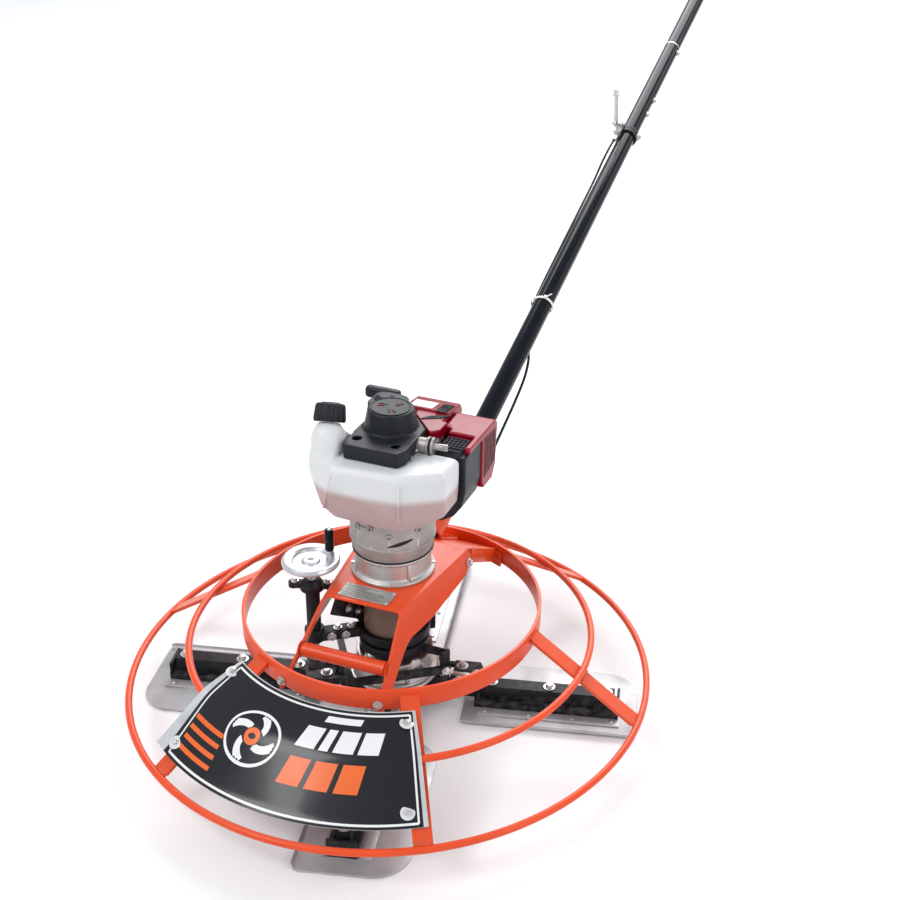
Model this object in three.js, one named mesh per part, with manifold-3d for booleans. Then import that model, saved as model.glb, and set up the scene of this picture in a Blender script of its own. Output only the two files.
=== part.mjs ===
// Walk-behind power trowel: a 762 mm guard frame on four pitching blades, driven by a
// small four-stroke engine through a planetary gearbox, steered by a long pole.
// Millimetres, +Z up. +Y points along the pole, -Y is the front with the guard panel.
// Heights below are measured from the floor; the origin is the centre of the hub underside.

import * as THREE from 'three';
import { mergeVertices } from 'three/addons/utils/BufferGeometryUtils.js';
import Module from 'manifold-3d';

const wasm = await Module();
wasm.setup();

// ---------------------------------------------------------------- driving dimensions
const GAP = 0.3;                       // clearance between pieces that rest on each other
const FIT = 0.35;                      // radial clearance of shafts and sleeves
const HUB_UNDERSIDE = 8;               // height of the hub underside above the floor

const OUTER_RING = { radius: 376, height: 53, bar: 5 };
const MIDDLE_RING = { radius: 289, bar: 5 };
const BAND = { outer: 213.6, inner: 209, bottom: 136, top: 166 };
const SPOKE = { width: 25, thick: 5, count: 6 };
const PANEL = { inner: 232, outer: 358, from: -126.5, to: -58.6, thick: 2 };

const FRAME = { top: 228, sheet: 4, halfFront: 58, front: -100, rear: 85, flare: 0.122, splay: 0.31 };
const CROSSBAR = { y: -157, z: 174, radius: 10 };
const NAMEPLATE = { x: -3, y: -79, width: 75, depth: 31, thick: 1.4 };

const GEARBOX = { radius: 44, bottom: 113, top: 223.6, flange: 56, bore: 41 };
const GEAR = { module: 1.5, sun: 12, planet: 15, ring: 42, bottom: 135, top: 149 };
const SHAFT = { radius: 11.7, bottom: 16.5 };
const SPACER = { bottom: 228.3, top: 266, flange: 59.5, neck: 53.5, bore: 42 };
const CLUTCH = { bottom: 266.3, top: 330, low: 56, high: 59.5, bore: 47 };

const HUB = { radius: 36, top: 43, sleeve: 31, reach: 80 };
const ARM = { axis: 25, side: 22, root: 38, end: 330, shaft: 10, restAngle: 13 };
const BLADE = { inner: 106, outer: 365, lead: 60, trail: 88, thick: 3, turnUp: 8 };
const THRUST = { bottom: 50.5, thick: 4, radius: 66 };
const COLLAR = { bottom: 55.5, top: 90, flange: 62, body: 56 };

const SCREW = { reach: 115, azimuth: 214.5, radius: 6, foot: 85.4, nutTop: 224, wheel: 246 };
const YOKE = { pivot: -64, offset: 61, bottom: 72, top: 84, bar: 6 };
const WHEEL = { radius: 40, thick: 12, gripRadius: 6.5, gripLength: 34, gripOffset: 30 };

const ENGINE_BASE = 330.3;             // underside of the crankcase
const TANK = { bottom: 343, waist: 364, shoulder: 404, top: 430, back: -10 };
const NECK = { x: -66, y: -50, z: 459, lean: 28, towards: 105, radius: 15, length: 7 };
const CAP = { radius: 21.5, height: 25 };
const RECOIL = { bottom: 431, shoulder: 452, top: 480, boss: 31 };

const POLE = { radius: 16.85, wall: 3, slope: 19.85, y: 380, z: 304.5, start: 130, joint: 1505, end: 1955 };
const HANDLE = { halfWidth: 265, radius: 12.5, grip: 16.5, gripLength: 125 };
const THROTTLE = { y: 1165, lever: 62 };

const RAD = Math.PI / 180;

// ---------------------------------------------------------------- materials
const finish = (color, roughness, metalness = 0) =>
  new THREE.MeshStandardMaterial({ color, roughness, metalness });

const ORANGE = finish(0xe2502a, 0.35);
const STEEL = finish(0xbdbcc0, 0.35, 0.9);
const ALUMINIUM = finish(0xb4b2af, 0.45, 0.9);
const BLACK = finish(0x1b1c20, 0.5);
const GLOSS_BLACK = finish(0x12141a, 0.25);
const RUBBER = finish(0x151515, 0.85);
const RED = finish(0xa50f28, 0.3);
const GREIGE = finish(0x8c7a70, 0.5, 0.3);
const TANK_WHITE = finish(0xe1e2e2, 0.45);

// ---------------------------------------------------------------- solids
const matrix = new THREE.Matrix4();

// A closed three.js geometry as a manifold solid, with its faces turned outwards.
function solid(geometry) {
  const bare = geometry.clone();
  bare.deleteAttribute('normal');
  bare.deleteAttribute('uv');
  const merged = mergeVertices(bare, 1e-4);
  const make = (triangles) => new wasm.Manifold(new wasm.Mesh({
    numProp: 3,
    vertProperties: new Float32Array(merged.attributes.position.array),
    triVerts: triangles,
  }));
  const triangles = new Uint32Array(merged.index.array);
  const result = make(triangles);
  if (result.volume() > 0) return result;
  for (let i = 0; i < triangles.length; i += 3) {
    [triangles[i], triangles[i + 1]] = [triangles[i + 1], triangles[i]];
  }
  return make(triangles);
}

const union = (first, ...others) => others.reduce((sum, piece) => sum.add(piece), first);
const cut = (first, ...others) => others.reduce((rest, piece) => rest.subtract(piece), first);

function box(x0, x1, y0, y1, z0, z1) {
  const geometry = new THREE.BoxGeometry(x1 - x0, y1 - y0, z1 - z0);
  geometry.translate((x0 + x1) / 2, (y0 + y1) / 2, (z0 + z1) / 2);
  return solid(geometry);
}

// An upright cylinder or cone from z0 to z1.
function post(radius, z0, z1, { x = 0, y = 0, sides = 24, topRadius = radius } = {}) {
  const geometry = new THREE.CylinderGeometry(topRadius, radius, z1 - z0, sides);
  geometry.rotateX(Math.PI / 2);
  geometry.translate(x, y, (z0 + z1) / 2);
  return solid(geometry);
}

// A round rod from point a to point b.
function rod(a, b, radius, sides = 16) {
  const start = new THREE.Vector3(...a);
  const along = new THREE.Vector3(...b).sub(start);
  const geometry = new THREE.CylinderGeometry(radius, radius, along.length(), sides);
  geometry.translate(0, along.length() / 2, 0);
  const turn = new THREE.Quaternion().setFromUnitVectors(new THREE.Vector3(0, 1, 0), along.clone().normalize());
  geometry.applyQuaternion(turn);
  geometry.translate(start.x, start.y, start.z);
  return solid(geometry);
}

// A rectangular bar from a to b: `thick` is measured along `up` as far as that is square to the bar.
function bar(a, b, width, thick, up = [0, 0, 1]) {
  const start = new THREE.Vector3(...a);
  const end = new THREE.Vector3(...b);
  const along = end.clone().sub(start);
  const length = along.length();
  along.normalize();
  const side = new THREE.Vector3().crossVectors(along, new THREE.Vector3(...up)).normalize();
  const normal = new THREE.Vector3().crossVectors(side, along);
  const geometry = new THREE.BoxGeometry(length, width, thick);
  geometry.applyMatrix4(matrix.makeBasis(along, side.negate(), normal));
  const middle = start.add(end).multiplyScalar(0.5);
  geometry.translate(middle.x, middle.y, middle.z);
  return solid(geometry);
}

// A solid turned about Z from a closed profile of [radius, height] points.
function turned(profile, sides = 28) {
  const closed = [...profile, profile[0]].map(([r, z]) => new THREE.Vector2(r, z));
  const geometry = new THREE.LatheGeometry(closed, sides);
  geometry.rotateX(Math.PI / 2);
  return solid(geometry);
}

// An outline of [x, y] points, extruded from z0 to z1.
function slab(outline, z0, z1, holes = []) {
  const shape = new THREE.Shape(outline.map(([x, y]) => new THREE.Vector2(x, y)));
  for (const [x, y, radius] of holes) {
    const hole = new THREE.Path();
    hole.absarc(x, y, radius, 0, 2 * Math.PI, true);
    shape.holes.push(hole);
  }
  const geometry = new THREE.ExtrudeGeometry(shape, { depth: z1 - z0, bevelEnabled: false, curveSegments: 12 });
  geometry.translate(0, 0, z0);
  return solid(geometry);
}

// An outline of [y, z] points, extruded along X from x0 to x1.
function sideSlab(outline, x0, x1) {
  const shape = new THREE.Shape(outline.map(([y, z]) => new THREE.Vector2(y, z)));
  const geometry = new THREE.ExtrudeGeometry(shape, { depth: x1 - x0, bevelEnabled: false });
  geometry.applyMatrix4(matrix.makeBasis(
    new THREE.Vector3(0, 1, 0), new THREE.Vector3(0, 0, 1), new THREE.Vector3(1, 0, 0)));
  geometry.translate(x0, 0, 0);
  return solid(geometry);
}

// A rounded rectangle in plan, as outline points.
function roundedOutline(x0, x1, y0, y1, radius, steps = 3) {
  const corners = [[x1 - radius, y1 - radius, 0], [x0 + radius, y1 - radius, 90],
    [x0 + radius, y0 + radius, 180], [x1 - radius, y0 + radius, 270]];
  const outline = [];
  for (const [cx, cy, from] of corners) {
    for (let i = 0; i <= steps; i++) {
      const angle = (from + 90 * i / steps) * RAD;
      outline.push([cx + radius * Math.cos(angle), cy + radius * Math.sin(angle)]);
    }
  }
  return outline;
}

// A sector of a ring between two radii and two azimuths in degrees.
function sector(inner, outer, from, to, z0, z1, steps = 8) {
  const outline = [];
  for (let i = 0; i <= steps; i++) {
    const angle = (from + (to - from) * i / steps) * RAD;
    outline.push([outer * Math.cos(angle), outer * Math.sin(angle)]);
  }
  for (let i = steps; i >= 0; i--) {
    const angle = (from + (to - from) * i / steps) * RAD;
    outline.push([inner * Math.cos(angle), inner * Math.sin(angle)]);
  }
  return slab(outline, z0, z1);
}

// ---------------------------------------------------------------- scene graph
const trowel = new THREE.Group();
const machine = new THREE.Group();
machine.position.z = -HUB_UNDERSIDE;
trowel.add(machine);

function piece(name, shape, material, parent = machine) {
  const { vertProperties, triVerts } = shape.getMesh();
  const geometry = new THREE.BufferGeometry();
  geometry.setAttribute('position', new THREE.BufferAttribute(vertProperties, 3));
  geometry.setIndex(new THREE.BufferAttribute(triVerts, 1));
  const mesh = new THREE.Mesh(geometry, material);
  mesh.name = name;
  parent.add(mesh);
  return mesh;
}

// ---------------------------------------------------------------- guard ring cage
const spokeTop = { radius: BAND.outer + GAP, height: BAND.top - SPOKE.thick / 2 - 1 };
const spokeEnd = { radius: OUTER_RING.radius - OUTER_RING.bar - 1.5, height: OUTER_RING.height + 4.5 };
const spokeSlope = (spokeTop.height - spokeEnd.height) / (spokeEnd.radius - spokeTop.radius);

function spokeHeight(radius) {
  return spokeTop.height - (radius - spokeTop.radius) * spokeSlope;
}

const middleRingHeight = spokeHeight(MIDDLE_RING.radius) + 9.8;

function addGuardCage() {
  const ring = ({ radius, height, bar: wire }, segments) => {
    const geometry = new THREE.TorusGeometry(radius, wire, 6, segments);
    geometry.translate(0, 0, height);
    return solid(geometry);
  };
  piece('outer_ring', ring(OUTER_RING, 72), ORANGE);
  piece('middle_ring', ring({ ...MIDDLE_RING, height: middleRingHeight }, 60), ORANGE);
  piece('inner_band', cut(
    post(BAND.outer, BAND.bottom, BAND.top, { sides: 60 }),
    post(BAND.inner, BAND.bottom - 1, BAND.top + 1, { sides: 60 })), ORANGE);

  const blank = bar(
    [spokeTop.radius - 12, 0, spokeHeight(spokeTop.radius - 12)],
    [spokeEnd.radius, 0, spokeEnd.height], SPOKE.width, SPOKE.thick);
  const spoke = cut(blank, post(BAND.outer + GAP, 0, 300, { sides: 60 }));
  for (let i = 0; i < SPOKE.count; i++) {
    const turn = new THREE.Group();
    turn.rotation.z = i * 60 * RAD;
    machine.add(turn);
    piece(`spoke_${i + 1}`, spoke, ORANGE, turn);
  }
}

// A thin sheet bent over the middle ring, screwed to the two front spokes.
function addGuardPanel() {
  const { inner, outer, from, to, thick } = PANEL;
  const spokeFace = (radius) => spokeHeight(radius) + SPOKE.thick * 0.6 + 0.5;
  const line = [
    [inner, spokeFace(inner)],
    [MIDDLE_RING.radius, middleRingHeight + MIDDLE_RING.bar * 1.46],
    [outer, spokeFace(outer)],
  ];
  const raised = line.map(([radius, height]) => [radius, height + thick]).reverse();
  piece('guard_panel', turned([...line, ...raised], 72).intersect(sector(150, 420, from, to, 0, 200)), BLACK);
}

// ---------------------------------------------------------------- engine frame
const cheekX = (y, z) => FRAME.halfFront + (y - FRAME.front) * FRAME.flare + (FRAME.top - z) * FRAME.splay;

function addFrame() {
  const insideBand = post(BAND.inner - 0.5, 100, 260, { sides: 60 });
  const gearboxHole = post(GEARBOX.radius + 2, 200, 240);
  const edge = (y) => cheekX(y, FRAME.top) - FRAME.sheet - 0.6;
  const topPlate = slab([
    [-edge(FRAME.front), FRAME.front], [edge(FRAME.front), FRAME.front],
    [edge(FRAME.rear), FRAME.rear], [-edge(FRAME.rear), FRAME.rear],
  ], FRAME.top - FRAME.sheet, FRAME.top);
  const rearDrop = (y) => FRAME.top - (y - FRAME.rear) * 0.59;
  const rearPlate = sideSlab([
    [FRAME.rear - 2, FRAME.top], [FRAME.rear - 2, FRAME.top - FRAME.sheet], [FRAME.rear, FRAME.top - FRAME.sheet],
    [210, rearDrop(210) - FRAME.sheet * 1.15], [210, rearDrop(210)], [FRAME.rear, FRAME.top],
  ], -86, 86);
  const lowEdge = (y) => rearDrop(y) - 25;
  const flange = sideSlab([[89, rearDrop(89) - 2], [89, lowEdge(89)], [177, lowEdge(177)], [183, lowEdge(177)],
    [186, rearDrop(186) - 2]], 82, 86);
  const corners = union(box(-90, -edge(FRAME.rear), 60, 88.5, 200, 232), box(edge(FRAME.rear), 90, 60, 88.5, 200, 232));
  const tabs = [62, 86, 110].map((from) => sector(BAND.inner - 5, BAND.inner - 0.5, from, from + 8, 140, 163));
  const rear = union(cut(rearPlate, corners), flange, flange.mirror([1, 0, 0])).intersect(insideBand);
  piece('frame_plate', cut(union(topPlate, rear, ...tabs), gearboxHole), ORANGE);

  const outline = [[-100, 228], [-204, 143], [-204, 139], [-182, 139], [-121, 178], [-96, 187],
    [-38, 186], [60, 196], [84.5, 210], [84.5, 228]];
  const shear = new THREE.Matrix4().set(
    1, FRAME.flare, -FRAME.splay, FRAME.halfFront - FRAME.front * FRAME.flare + FRAME.top * FRAME.splay,
    0, 1, 0, 0, 0, 0, 1, 0, 0, 0, 0, 1);
  const shape = new THREE.Shape(outline.map(([y, z]) => new THREE.Vector2(y, z)));
  const cheekGeometry = new THREE.ExtrudeGeometry(shape, { depth: FRAME.sheet, bevelEnabled: false });
  cheekGeometry.applyMatrix4(matrix.makeBasis(
    new THREE.Vector3(0, 1, 0), new THREE.Vector3(0, 0, 1), new THREE.Vector3(1, 0, 0)));
  cheekGeometry.translate(-FRAME.sheet, 0, 0);
  cheekGeometry.applyMatrix4(shear);
  const foot = sector(BAND.inner - 5, BAND.inner - 0.5, -74, -64.5, 139, 163);
  const right = union(solid(cheekGeometry).intersect(insideBand), foot);
  piece('frame_cheek_right', right, ORANGE);
  piece('frame_cheek_left', right.mirror([1, 0, 0]), ORANGE);

  const reach = cheekX(CROSSBAR.y, CROSSBAR.z + CROSSBAR.radius) - FRAME.sheet - 0.9;
  piece('crossbar', rod([-reach, CROSSBAR.y, CROSSBAR.z], [reach, CROSSBAR.y, CROSSBAR.z], CROSSBAR.radius, 20), ORANGE);
  const { x, y, width, depth, thick } = NAMEPLATE;
  piece('nameplate', box(x - width / 2, x + width / 2, y - depth / 2, y + depth / 2,
    FRAME.top + GAP, FRAME.top + GAP + thick), ALUMINIUM);
}

// ---------------------------------------------------------------- drive train
// Outline of a spur gear; `inside` draws the same teeth as gaps for a ring gear.
function gearOutline(teeth, { inside = false, backlash = 0.18 } = {}) {
  const pitch = GEAR.module * teeth / 2;
  const root = inside ? pitch + 1.2 * GEAR.module : pitch - 1.2 * GEAR.module;
  const tip = inside ? pitch - 0.85 * GEAR.module : pitch + 0.85 * GEAR.module;
  const quarter = 90 / teeth;
  const loose = backlash / pitch / RAD;
  const outline = [];
  for (let i = 0; i < teeth; i++) {
    const centre = i * 360 / teeth;
    const stations = [
      [root, -quarter * 1.5 + loose], [tip, -quarter * 0.42 + loose],
      [tip, quarter * 0.42 - loose], [root, quarter * 1.5 - loose],
    ];
    for (const [radius, offset] of stations) {
      const angle = (centre + offset) * RAD;
      outline.push([radius * Math.cos(angle), radius * Math.sin(angle)]);
    }
  }
  return outline;
}

const planetOrbit = GEAR.module * (GEAR.sun + GEAR.planet) / 2;

function addDriveTrain() {
  const { radius, bottom, top, flange, bore } = GEARBOX;
  piece('gearbox_housing', turned([
    [bore, bottom], [radius, bottom], [radius, top - 4], [flange, top - 4], [flange, top], [bore, top],
  ]), GREIGE);

  const ringBlank = slab(gearOutline(GEAR.ring, { inside: true }), GEAR.bottom - 1, GEAR.top + 1)
    .rotate([0, 0, 180 / GEAR.ring]);
  const ringGear = cut(post(bore - GAP, GEAR.bottom, GEAR.top, { sides: 48 }), ringBlank);
  piece('ring_gear', ringGear, STEEL);

  const drum = turned([[5, 268], [40, 268], [40, 292], [36, 292], [36, 273], [5, 273]]);
  const sunTeeth = slab(gearOutline(GEAR.sun), GEAR.bottom + 1, GEAR.top + 1);
  piece('sun_shaft', union(sunTeeth, post(6, GEAR.top, 270, { sides: 16 }), drum), STEEL);
  piece('crankshaft', union(post(5, 294, 426, { sides: 12 }), post(33, 278, 290), post(5, 289, 296, { sides: 12 })), STEEL);

  const pins = [];
  for (let i = 0; i < 3; i++) {
    const angle = i * 120 * RAD;
    const spot = { x: planetOrbit * Math.cos(angle), y: planetOrbit * Math.sin(angle), sides: 14 };
    pins.push(post(4, 131, GEAR.top, spot));
    const carrierPivot = new THREE.Group();
    carrierPivot.position.set(spot.x, spot.y, 0);
    machine.add(carrierPivot);
    // The sun turns a tooth towards each planet, so a gap of the planet faces it.
    carrierPivot.rotation.z = angle + Math.PI + Math.PI / GEAR.planet;
    piece(`planet_gear_${i + 1}`, cut(
      slab(gearOutline(GEAR.planet), GEAR.bottom, GEAR.top),
      post(4 + FIT, GEAR.bottom - 1, GEAR.top + 1, { sides: 14 })), STEEL, carrierPivot);
  }
  piece('planet_carrier', union(
    post(SHAFT.radius, SHAFT.bottom, 128, { sides: 24 }), post(29, 126, 133), ...pins), STEEL);

  piece('gearbox_nose', cut(union(
    turned([[SHAFT.radius + FIT, 96], [48, 96], [51, 99], [51, bottom - GAP], [SHAFT.radius + FIT, bottom - GAP]]),
    yokeLugs()), post(SHAFT.radius + FIT, 60, 130, { sides: 24 })), BLACK);
}

function addClutch() {
  const s = SPACER;
  piece('spacer_flange', turned([
    [s.bore, s.bottom], [s.flange, s.bottom], [s.flange, s.bottom + 5], [s.neck, s.bottom + 8],
    [s.neck, s.top - 6], [s.flange - 3, s.top - 3], [s.flange - 3, s.top], [s.bore, s.top],
  ]), ALUMINIUM);
  const c = CLUTCH;
  piece('clutch_case', turned([
    [c.bore, c.bottom], [c.low, c.bottom], [c.low, c.bottom + 6], [c.high, c.bottom + 22], [c.high, c.top],
    [8, c.top], [8, c.top - 7], [c.bore, c.top - 7],
  ]), ALUMINIUM);
}

// ---------------------------------------------------------------- rotor with pitching blades
const rotor = new THREE.Group();
rotor.rotation.z = ARM.restAngle * RAD;
machine.add(rotor);

function addRotor() {
  const half = HUB.sleeve / 2;
  const sleeves = box(-HUB.reach, HUB.reach, -half, half, ARM.axis - half, ARM.axis + half);
  const crossed = union(sleeves, sleeves.rotate([0, 0, 90]), post(HUB.radius, HUB_UNDERSIDE, HUB.top));
  const bores = [0, 90, 180, 270].map((turn) => (
    rod([ARM.root - 4, 0, ARM.axis], [HUB.reach + 5, 0, ARM.axis], ARM.shaft + FIT, 20).rotate([0, 0, turn])));
  const socket = post(SHAFT.radius + FIT, SHAFT.bottom - GAP, HUB.top + 2, { sides: 24 });
  piece('spider_hub', cut(crossed, ...bores, socket), BLACK, rotor);

  for (let i = 0; i < 4; i++) {
    const turn = new THREE.Group();
    turn.rotation.z = i * 90 * RAD;
    rotor.add(turn);
    piece(`arm_${i + 1}`, armShape(), BLACK, turn);
    piece(`blade_${i + 1}`, bladeShape(), STEEL, turn);
  }
}

// The arm lies along +X; its trailing side is +Y because the rotor turns clockwise from above.
function armShape() {
  const half = ARM.side / 2;
  const low = BLADE.thick + GAP;
  const shaft = rod([ARM.root, 0, ARM.axis], [HUB.reach + 3, 0, ARM.axis], ARM.shaft, 20);
  const beam = box(HUB.reach + 2, ARM.end, -half, half, ARM.axis - half, ARM.axis + half);
  const channel = box(122, ARM.end + 8, -20, 20, low, ARM.axis - half + 0.5);
  const plateTop = ARM.axis + half + 7;
  const plate = slab([[86, -24], [124, -24], [134, -14], [134, 14], [124, 36], [86, 36]], ARM.axis + half - 0.5, plateTop);
  const tongue = box(57, 88, 25, 33, plateTop - 6, plateTop);
  const pad = post(4, plateTop - 2, THRUST.bottom - 0.9, { x: 61, y: 29, sides: 10 });
  return union(shaft, beam, channel, plate, tongue, pad);
}

// A flat blade with a large round on the trailing corners and a turned-up leading edge.
function bladeShape() {
  const { inner, outer, lead, trail, thick, turnUp } = BLADE;
  const round = 48;
  const chamfer = 10;
  const steps = 6;
  const fold = 9;
  const outline = [[inner, -lead + fold], [outer, -lead + fold]];
  for (let i = 0; i <= steps; i++) {
    const angle = 90 * i / steps * RAD;
    outline.push([outer - round + round * Math.cos(angle), trail - round + round * Math.sin(angle)]);
  }
  for (let i = 0; i <= steps; i++) {
    const angle = (90 + 90 * i / steps) * RAD;
    outline.push([inner + round + round * Math.cos(angle), trail - round + round * Math.sin(angle)]);
  }
  const flat = slab(outline, 0, thick);
  const lipSide = sideSlab([
    [-lead + fold + 0.01, 0], [-lead + fold + 0.01, thick], [-lead + 1, turnUp + 1], [-lead - 1, turnUp - 1.5],
  ], inner, outer);
  const trim = slab([
    [inner + chamfer, -lead - 2], [outer - chamfer, -lead - 2], [outer, -lead - 2 + chamfer],
    [outer, trail + 1], [inner, trail + 1], [inner, -lead - 2 + chamfer],
  ], -1, 20);
  return union(flat, lipSide).intersect(trim);
}

// ---------------------------------------------------------------- pitch control
const leverFrame = (x, y, z) => {
  const angle = SCREW.azimuth * RAD;
  return [x * Math.cos(angle) - y * Math.sin(angle), x * Math.sin(angle) + y * Math.cos(angle), z];
};

const [screwX, screwY] = leverFrame(SCREW.reach, 0, 0);

// Two lugs under the gearbox nose that carry the yoke pivot, in the nose's own place.
function yokeLugs() {
  const lugs = [-1, 1].map((side) => {
    const y = side * (YOKE.offset - 7.5);
    const height = (YOKE.bottom + YOKE.top) / 2;
    return union(
      bar(leverFrame(YOKE.pivot, y, 102), leverFrame(-30, y * 0.55, 102), 8, 10),
      bar(leverFrame(YOKE.pivot, y, 107), leverFrame(YOKE.pivot, y, YOKE.bottom), 7, 14, leverFrame(1, 0, 0)),
      rod(leverFrame(YOKE.pivot, y, height), leverFrame(YOKE.pivot, side * (YOKE.offset + 5), height), 3.6, 12));
  });
  return union(...lugs);
}

function addPitchControl() {
  piece('thrust_plate', turned([
    [SHAFT.radius + FIT + 3, THRUST.bottom], [THRUST.radius, THRUST.bottom],
    [THRUST.radius, THRUST.bottom + THRUST.thick], [SHAFT.radius + FIT + 3, THRUST.bottom + THRUST.thick],
  ]), STEEL);
  const c = COLLAR;
  piece('thrust_collar', union(turned([
    [SHAFT.radius + 2, c.bottom], [c.flange, c.bottom], [c.flange, c.bottom + 4], [c.body, c.bottom + 6],
    [c.body, c.top], [c.body - 5, c.top], [c.body - 5, c.bottom + 14], [SHAFT.radius + 2, c.bottom + 14],
  ])), ALUMINIUM);

  const { offset, pivot, bottom, top, bar: thick } = YOKE;
  const height = (bottom + top) / 2;
  const sides = [-1, 1].map((side) => bar(
    leverFrame(pivot - 7, side * offset, height), leverFrame(78, side * offset, height), thick, top - bottom));
  const holes = rod(leverFrame(pivot, -90, height), leverFrame(pivot, 90, height), 3.6 + FIT, 12);
  const bridge = bar(leverFrame(74, -offset - 3, height), leverFrame(74, offset + 3, height), 9, top - bottom);
  const tail = bar(leverFrame(73, 0, height), leverFrame(SCREW.reach + 12, 0, height), 24, top - bottom);
  piece('pitch_yoke', cut(union(...sides, bridge, tail), holes), BLACK);

  piece('screw_foot', post(9, SCREW.foot, SCREW.foot + 9, { x: screwX, y: screwY, sides: 20 }), STEEL);
  const screw = post(SCREW.radius, SCREW.foot + 9 + GAP, SCREW.wheel - GAP, { x: screwX, y: screwY, sides: 16 });
  piece('pitch_screw', screw, STEEL);

  const at = (sides) => ({ x: screwX, y: screwY, sides });
  const base = 126;
  const arm = bar(leverFrame(GEARBOX.radius + 4, 0, base), leverFrame(SCREW.reach, 0, base), 20, 14);
  const bracket = cut(
    union(
      post(52, base - 7, base + 7), arm, post(14, base - 7, base + 14, at(20)), post(10, base, 206, at(20)),
      bar([-47.5, -6, 142], [-49.5, -88, 203], 5, 26, [0, -0.55, 0.83]),
      bar([-46, -8, 126], [-49, -24, 152], 12, 8)),
    post(GEARBOX.radius + FIT + 0.2, 100, 230), post(SCREW.radius + FIT, 90, 230, at(16)));
  piece('pitch_bracket', bracket, BLACK);

  const ears = bar([screwX - 26, screwY - 8, 213], [screwX + 24, screwY + 8, 213], 14, 8);
  piece('screw_nut', cut(
    union(post(17, 206 + GAP, 216, at(24)), post(15, 215, SCREW.nutTop, { ...at(24), topRadius: 11 }), ears),
    post(SCREW.radius + FIT, 190, 240, at(16))), BLACK);

  const wheelGroup = new THREE.Group();
  wheelGroup.position.set(screwX, screwY, SCREW.wheel);
  machine.add(wheelGroup);
  const w = WHEEL;
  const dish = turned([
    [0, 0], [14, 0], [14, 2], [w.radius - 5, 2], [w.radius, 4], [w.radius, w.thick - 3], [w.radius - 3, w.thick],
    [w.radius - 14, w.thick], [w.radius - 16, 6], [12, 6], [11, 9], [0, 9],
  ].reverse(), 32);
  const gripAngle = 58 * RAD;
  const gripX = w.gripOffset * Math.cos(gripAngle);
  const gripY = w.gripOffset * Math.sin(gripAngle);
  const pin = post(2.5, w.thick - 2, w.thick + w.gripLength + 2, { x: gripX, y: gripY, sides: 12 });
  piece('handwheel', union(dish, pin), ALUMINIUM, wheelGroup);
  piece('wheel_grip', cut(
    turned([[0, 0], [w.gripRadius - 1, 0], [w.gripRadius, 3], [w.gripRadius, w.gripLength - 2],
      [w.gripRadius - 1, w.gripLength], [0, w.gripLength]], 20)
      .translate([gripX, gripY, w.thick + 1]),
    post(2.5 + FIT, 0, 100, { x: gripX, y: gripY, sides: 12 })), GLOSS_BLACK, wheelGroup);
}

// ---------------------------------------------------------------- engine
function addEngine() {
  const crankcase = cut(
    union(
      slab(roundedOutline(-56, 51, 2, 60, 14), ENGINE_BASE, 418),
      slab(roundedOutline(-34, 34, -6, 60, 14), 400, 426),
      ...[0, 1, 2, 3, 4, 5].map((i) => slab(roundedOutline(-50, 46, 62, 112, 12), 342 + i * 12, 348 + i * 12)),
      box(-32, 30, 60, 106, 340, 408)),
    post(5 + FIT, 300, 440, { sides: 12 }));
  piece('engine_block', crankcase, ALUMINIUM);

  piece('fuel_tank', tankShape(), TANK_WHITE);
  piece('fuel_cap', onNeck(turned([
    [0, 0], [CAP.radius, 0], [CAP.radius, 5], [CAP.radius - 1.5, CAP.height - 4],
    [CAP.radius - 4, CAP.height], [0, CAP.height],
  ], 32).translate([0, 0, NECK.length + GAP])), BLACK);

  piece('recoil_cover', recoilShape(), BLACK);
  const gripY = 68;
  piece('starter_grip', union(
    slab(roundedOutline(-70, -18, 0, 15, 6), 453, 470).translate([0, gripY - 6, 0]),
    rod([-34, gripY + 1, 462.5], [-34, 30, 462.5], 1.8, 8)), BLACK);

  const redTop = sideSlab([[72, 421], [122, 421], [128, 430], [120, 442], [74, 448], [66, 444], [66, 421]], -14, 52.4);
  const redFront = slab([[49, 14], [60, 24], [60, 51], [52.4, 51.5], [52.4, 67], [8, 67], [8, 60], [23, 43]], 431, 446);
  piece('head_cover', union(redTop, redFront), RED);
  const cover = union(
    sideSlab([[52, 362], [58, 350], [92, 350], [104, 366], [110, 430], [100, 438], [52, 438]], 53, 112),
    box(66, 112, 40, 54, 428, 438), box(104, 112, 4, 54, 428, 438));
  piece('muffler_cover', cover, RED);
  const boxOutline = [[62, 322], [76, 324], [93, 334], [105, 351], [110, 374], [110, 427.5], [62, 427.5]];
  piece('air_box', union(
    frontSlab(boxOutline, -6.5, 51.6), box(68, 102, -2, 38, 427, 433)), BLACK);
}

// Moves a shape built on the Z axis onto the leaning filler neck.
const onNeck = (shape) => shape.rotate([0, NECK.lean, NECK.towards]).translate([NECK.x, NECK.y, NECK.z]);

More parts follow.
